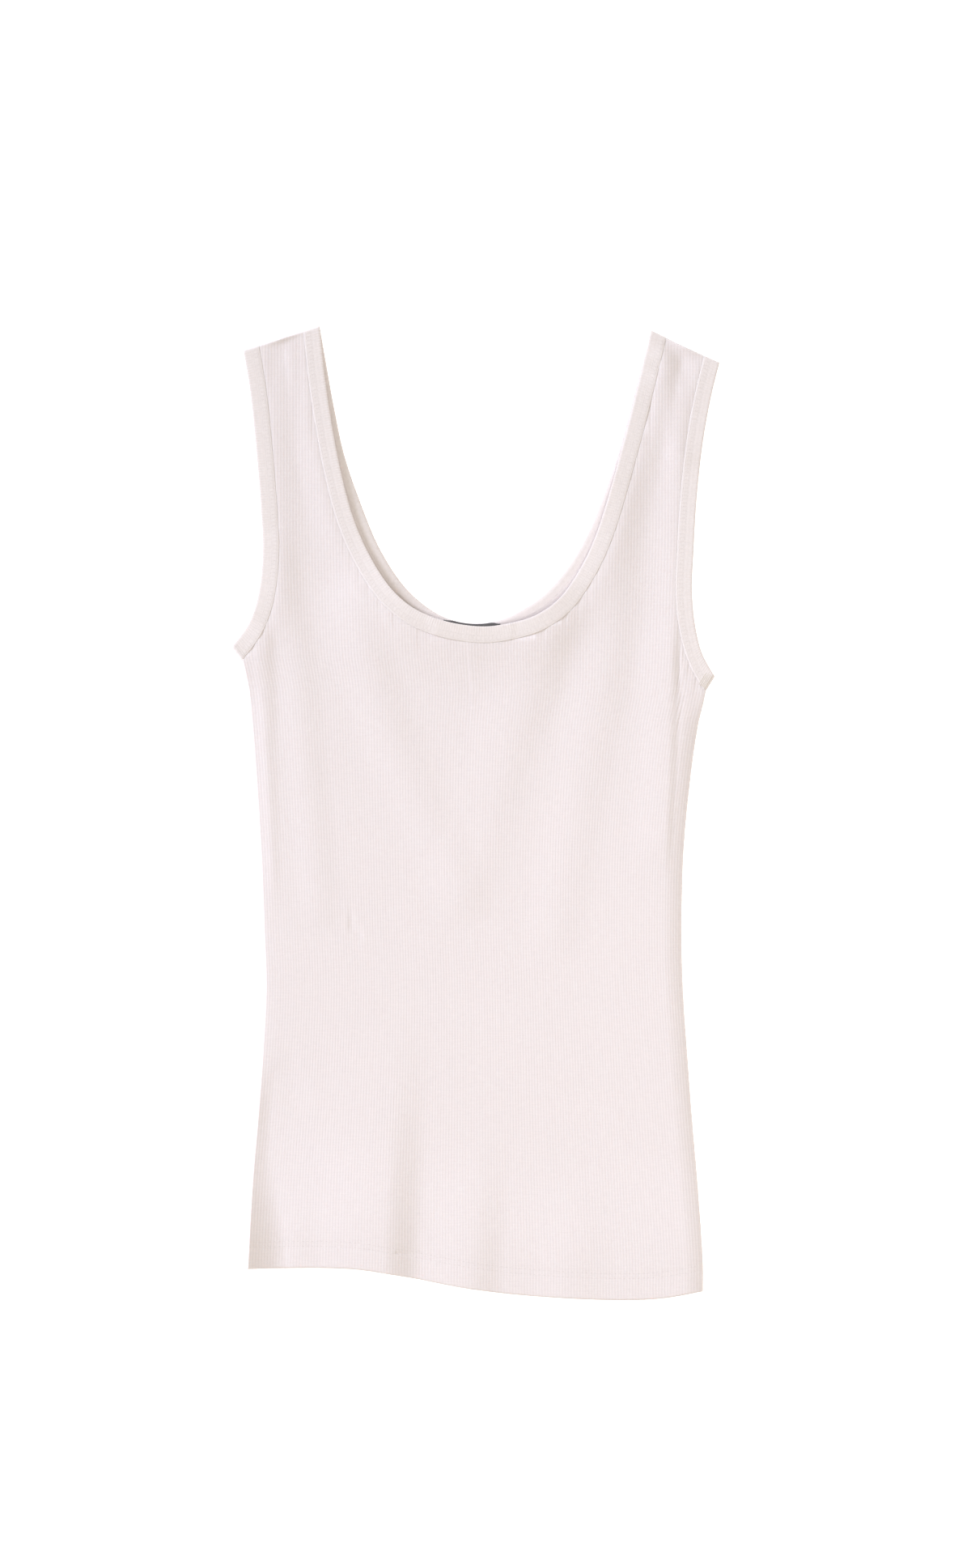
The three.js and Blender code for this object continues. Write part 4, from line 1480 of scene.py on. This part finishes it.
@dataclass(frozen=True)
class Studio:
    """A white table seen from straight above, lit softly from the left, with a fill from all round."""

    centre: Place = (6.42, 17.98)  # what the camera looks at, in millimetres
    frame_height: float = 995.0
    camera_height: float = 4.0
    key_from: tuple[float, float, float] = (-0.81, 0.49, 0.32)
    key_distance: float = 7.0
    key_size: float = 2.6
    key_share: Colour = (0.25, 0.28, 0.35)
    over_place: tuple[float, float, float] = (0.16, -0.19, 0.9)
    over_size: float = 0.5
    over_share: Colour = (0.30, 0.30, 0.30)
    fill_share: Colour = (0.555, 0.53, 0.462)
    level: float = 1.142
    table_reach: float = 40.0
    table_drop: float = 0.0002  # the table's top lies this far under the garment
    sensor: float = 24.0
    cloth_height: float = 0.003  # the height over the table at which the frame is measured

    def camera(self) -> None:
        """Sets the camera over the table."""
        lens = bpy.data.cameras.new("camera_over_table")
        lens.sensor_fit, lens.sensor_height = "VERTICAL", self.sensor
        lens.lens = self.sensor * (self.camera_height - self.cloth_height) / (self.frame_height * MM)
        lens.clip_end = 50
        over = linked("camera_over_table", lens)
        over.location = (self.centre[0] * MM, self.centre[1] * MM, self.camera_height)
        bpy.context.scene.camera = over

    def lamp(self, name: str, size: float, strength: float, place: tuple[float, ...]) -> bpy.types.Object:
        """Hangs a round light.

        Args:
            name: Its name.
            size: How wide it is.
            strength: How much light it gives.
            place: Where it hangs.

        Returns:
            The light.
        """
        light = bpy.data.lights.new(name, "AREA")
        light.shape, light.size, light.energy = "DISK", size, self.level * strength * math.pi**2
        hung = linked(name, light)
        hung.location = place
        return hung

    def lights(self) -> None:
        """Sets the key light and the fill."""
        toward, strongest = Vector(self.key_from).normalized(), max(self.key_share)
        strength = strongest * self.key_distance**2 / toward.z
        key = self.lamp("key_light", self.key_size, strength, toward * self.key_distance)
        key.data.color = tuple(share / strongest for share in self.key_share)
        key.rotation_euler = toward.to_track_quat("Z", "Y").to_euler()
        strength = max(self.over_share) * self.over_place[2] ** 2
        self.lamp("light_over_table", self.over_size, strength, self.over_place).visible_camera = False
        world = bpy.data.worlds.new("fill")
        world.use_nodes = True
        background = world.node_tree.nodes["Background"]
        background.inputs["Color"].default_value = (*self.fill_share, 1)
        background.inputs["Strength"].default_value = self.level
        bpy.context.scene.world = world

    def table(self) -> None:
        """Lays the table's white top."""
        bm = bmesh.new()
        bmesh.ops.create_grid(bm, x_segments=1, y_segments=1, size=self.table_reach)
        bmesh.ops.translate(bm, verts=bm.verts[:], vec=(0, 0, -self.table_drop))
        mesh = kept_mesh(bm, "table_top")
        mesh.materials.append(FloorFinish().make())
        linked("table_top", mesh)

    def build(self) -> None:
        """Sets up the whole studio."""
        bpy.context.scene.view_settings.view_transform = "Standard"
        self.camera()
        self.lights()
        self.table()


@dataclass(frozen=True)
class TankTop:
    """The whole garment, built piece by piece."""

    front: FrontPanel = FrontPanel()
    back: BackPanel = BackPanel()
    bands: tuple[Band, ...] = (
        Band("neck_band", Route.FRONT_NECK, Route.BACK_NECK),
        Band("armhole_band_left", Route.ARMHOLE_LEFT, Route.ARMHOLE_LEFT),
        Band("armhole_band_right", Route.ARMHOLE_RIGHT, Route.ARMHOLE_RIGHT),
    )
    label: NeckLabel = NeckLabel()

    def build(self) -> None:
        """Builds and dresses every piece, and hides the model's parts that they replace."""
        knit, band_knit = RibKnitFinish().make(), BandFinish().make()
        thread = ThreadFinish().make()
        front = add_piece("front_rib_panel", self.front.make(Route.FRONT_NECK), knit)
        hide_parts("front_panel")
        back = add_piece("back_rib_panel", self.back.make(Route.BACK_NECK), knit)
        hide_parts("back_panel")
        trims = []
        nodes = ("neck_binding", "armhole_binding_left", "armhole_binding_right")
        for band, node in zip(self.bands, nodes):
            strip = add_piece(band.name, band.make(), band_knit)
            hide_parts(node)
            sewn = add_piece(f"{band.name}_stitches", CoverStitch().make(band), thread)
            trims += [strip, sewn]
        for side, fold, colour, count in (
            ("left", FOLD_UNDERARM_LEFT, (0.77, 0.70, 0.69), 3),
            # the right join's thread is painted darker and browner than the left's, as shade on that side of
            # the garment
            ("right", FOLD_UNDERARM_RIGHT, (0.64, 0.57, 0.46), 5),
        ):
            name, join_thread = f"underarm_join_{side}", ThreadFinish(f"join_thread_{side}", colour).make()
            trims.append(add_piece(name, UnderarmJoin(count).make(name, fold), join_thread))
        hems = [
            add_piece(name, HemStitch().make(name, panel, upper), thread)
            for name, panel, upper in (
                ("front_hem_stitches", self.front, True), ("back_hem_stitches", self.back, False))
        ]
        tape = add_piece("neck_tape", self.label.make(), TapeFinish().make())
        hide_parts("neck_label")


def main() -> None:
    """Builds the scene."""
    logging.basicConfig(level=logging.INFO, format="%(message)s")
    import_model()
    Studio().build()
    TankTop().build()


if __name__ == "__main__":
    main()
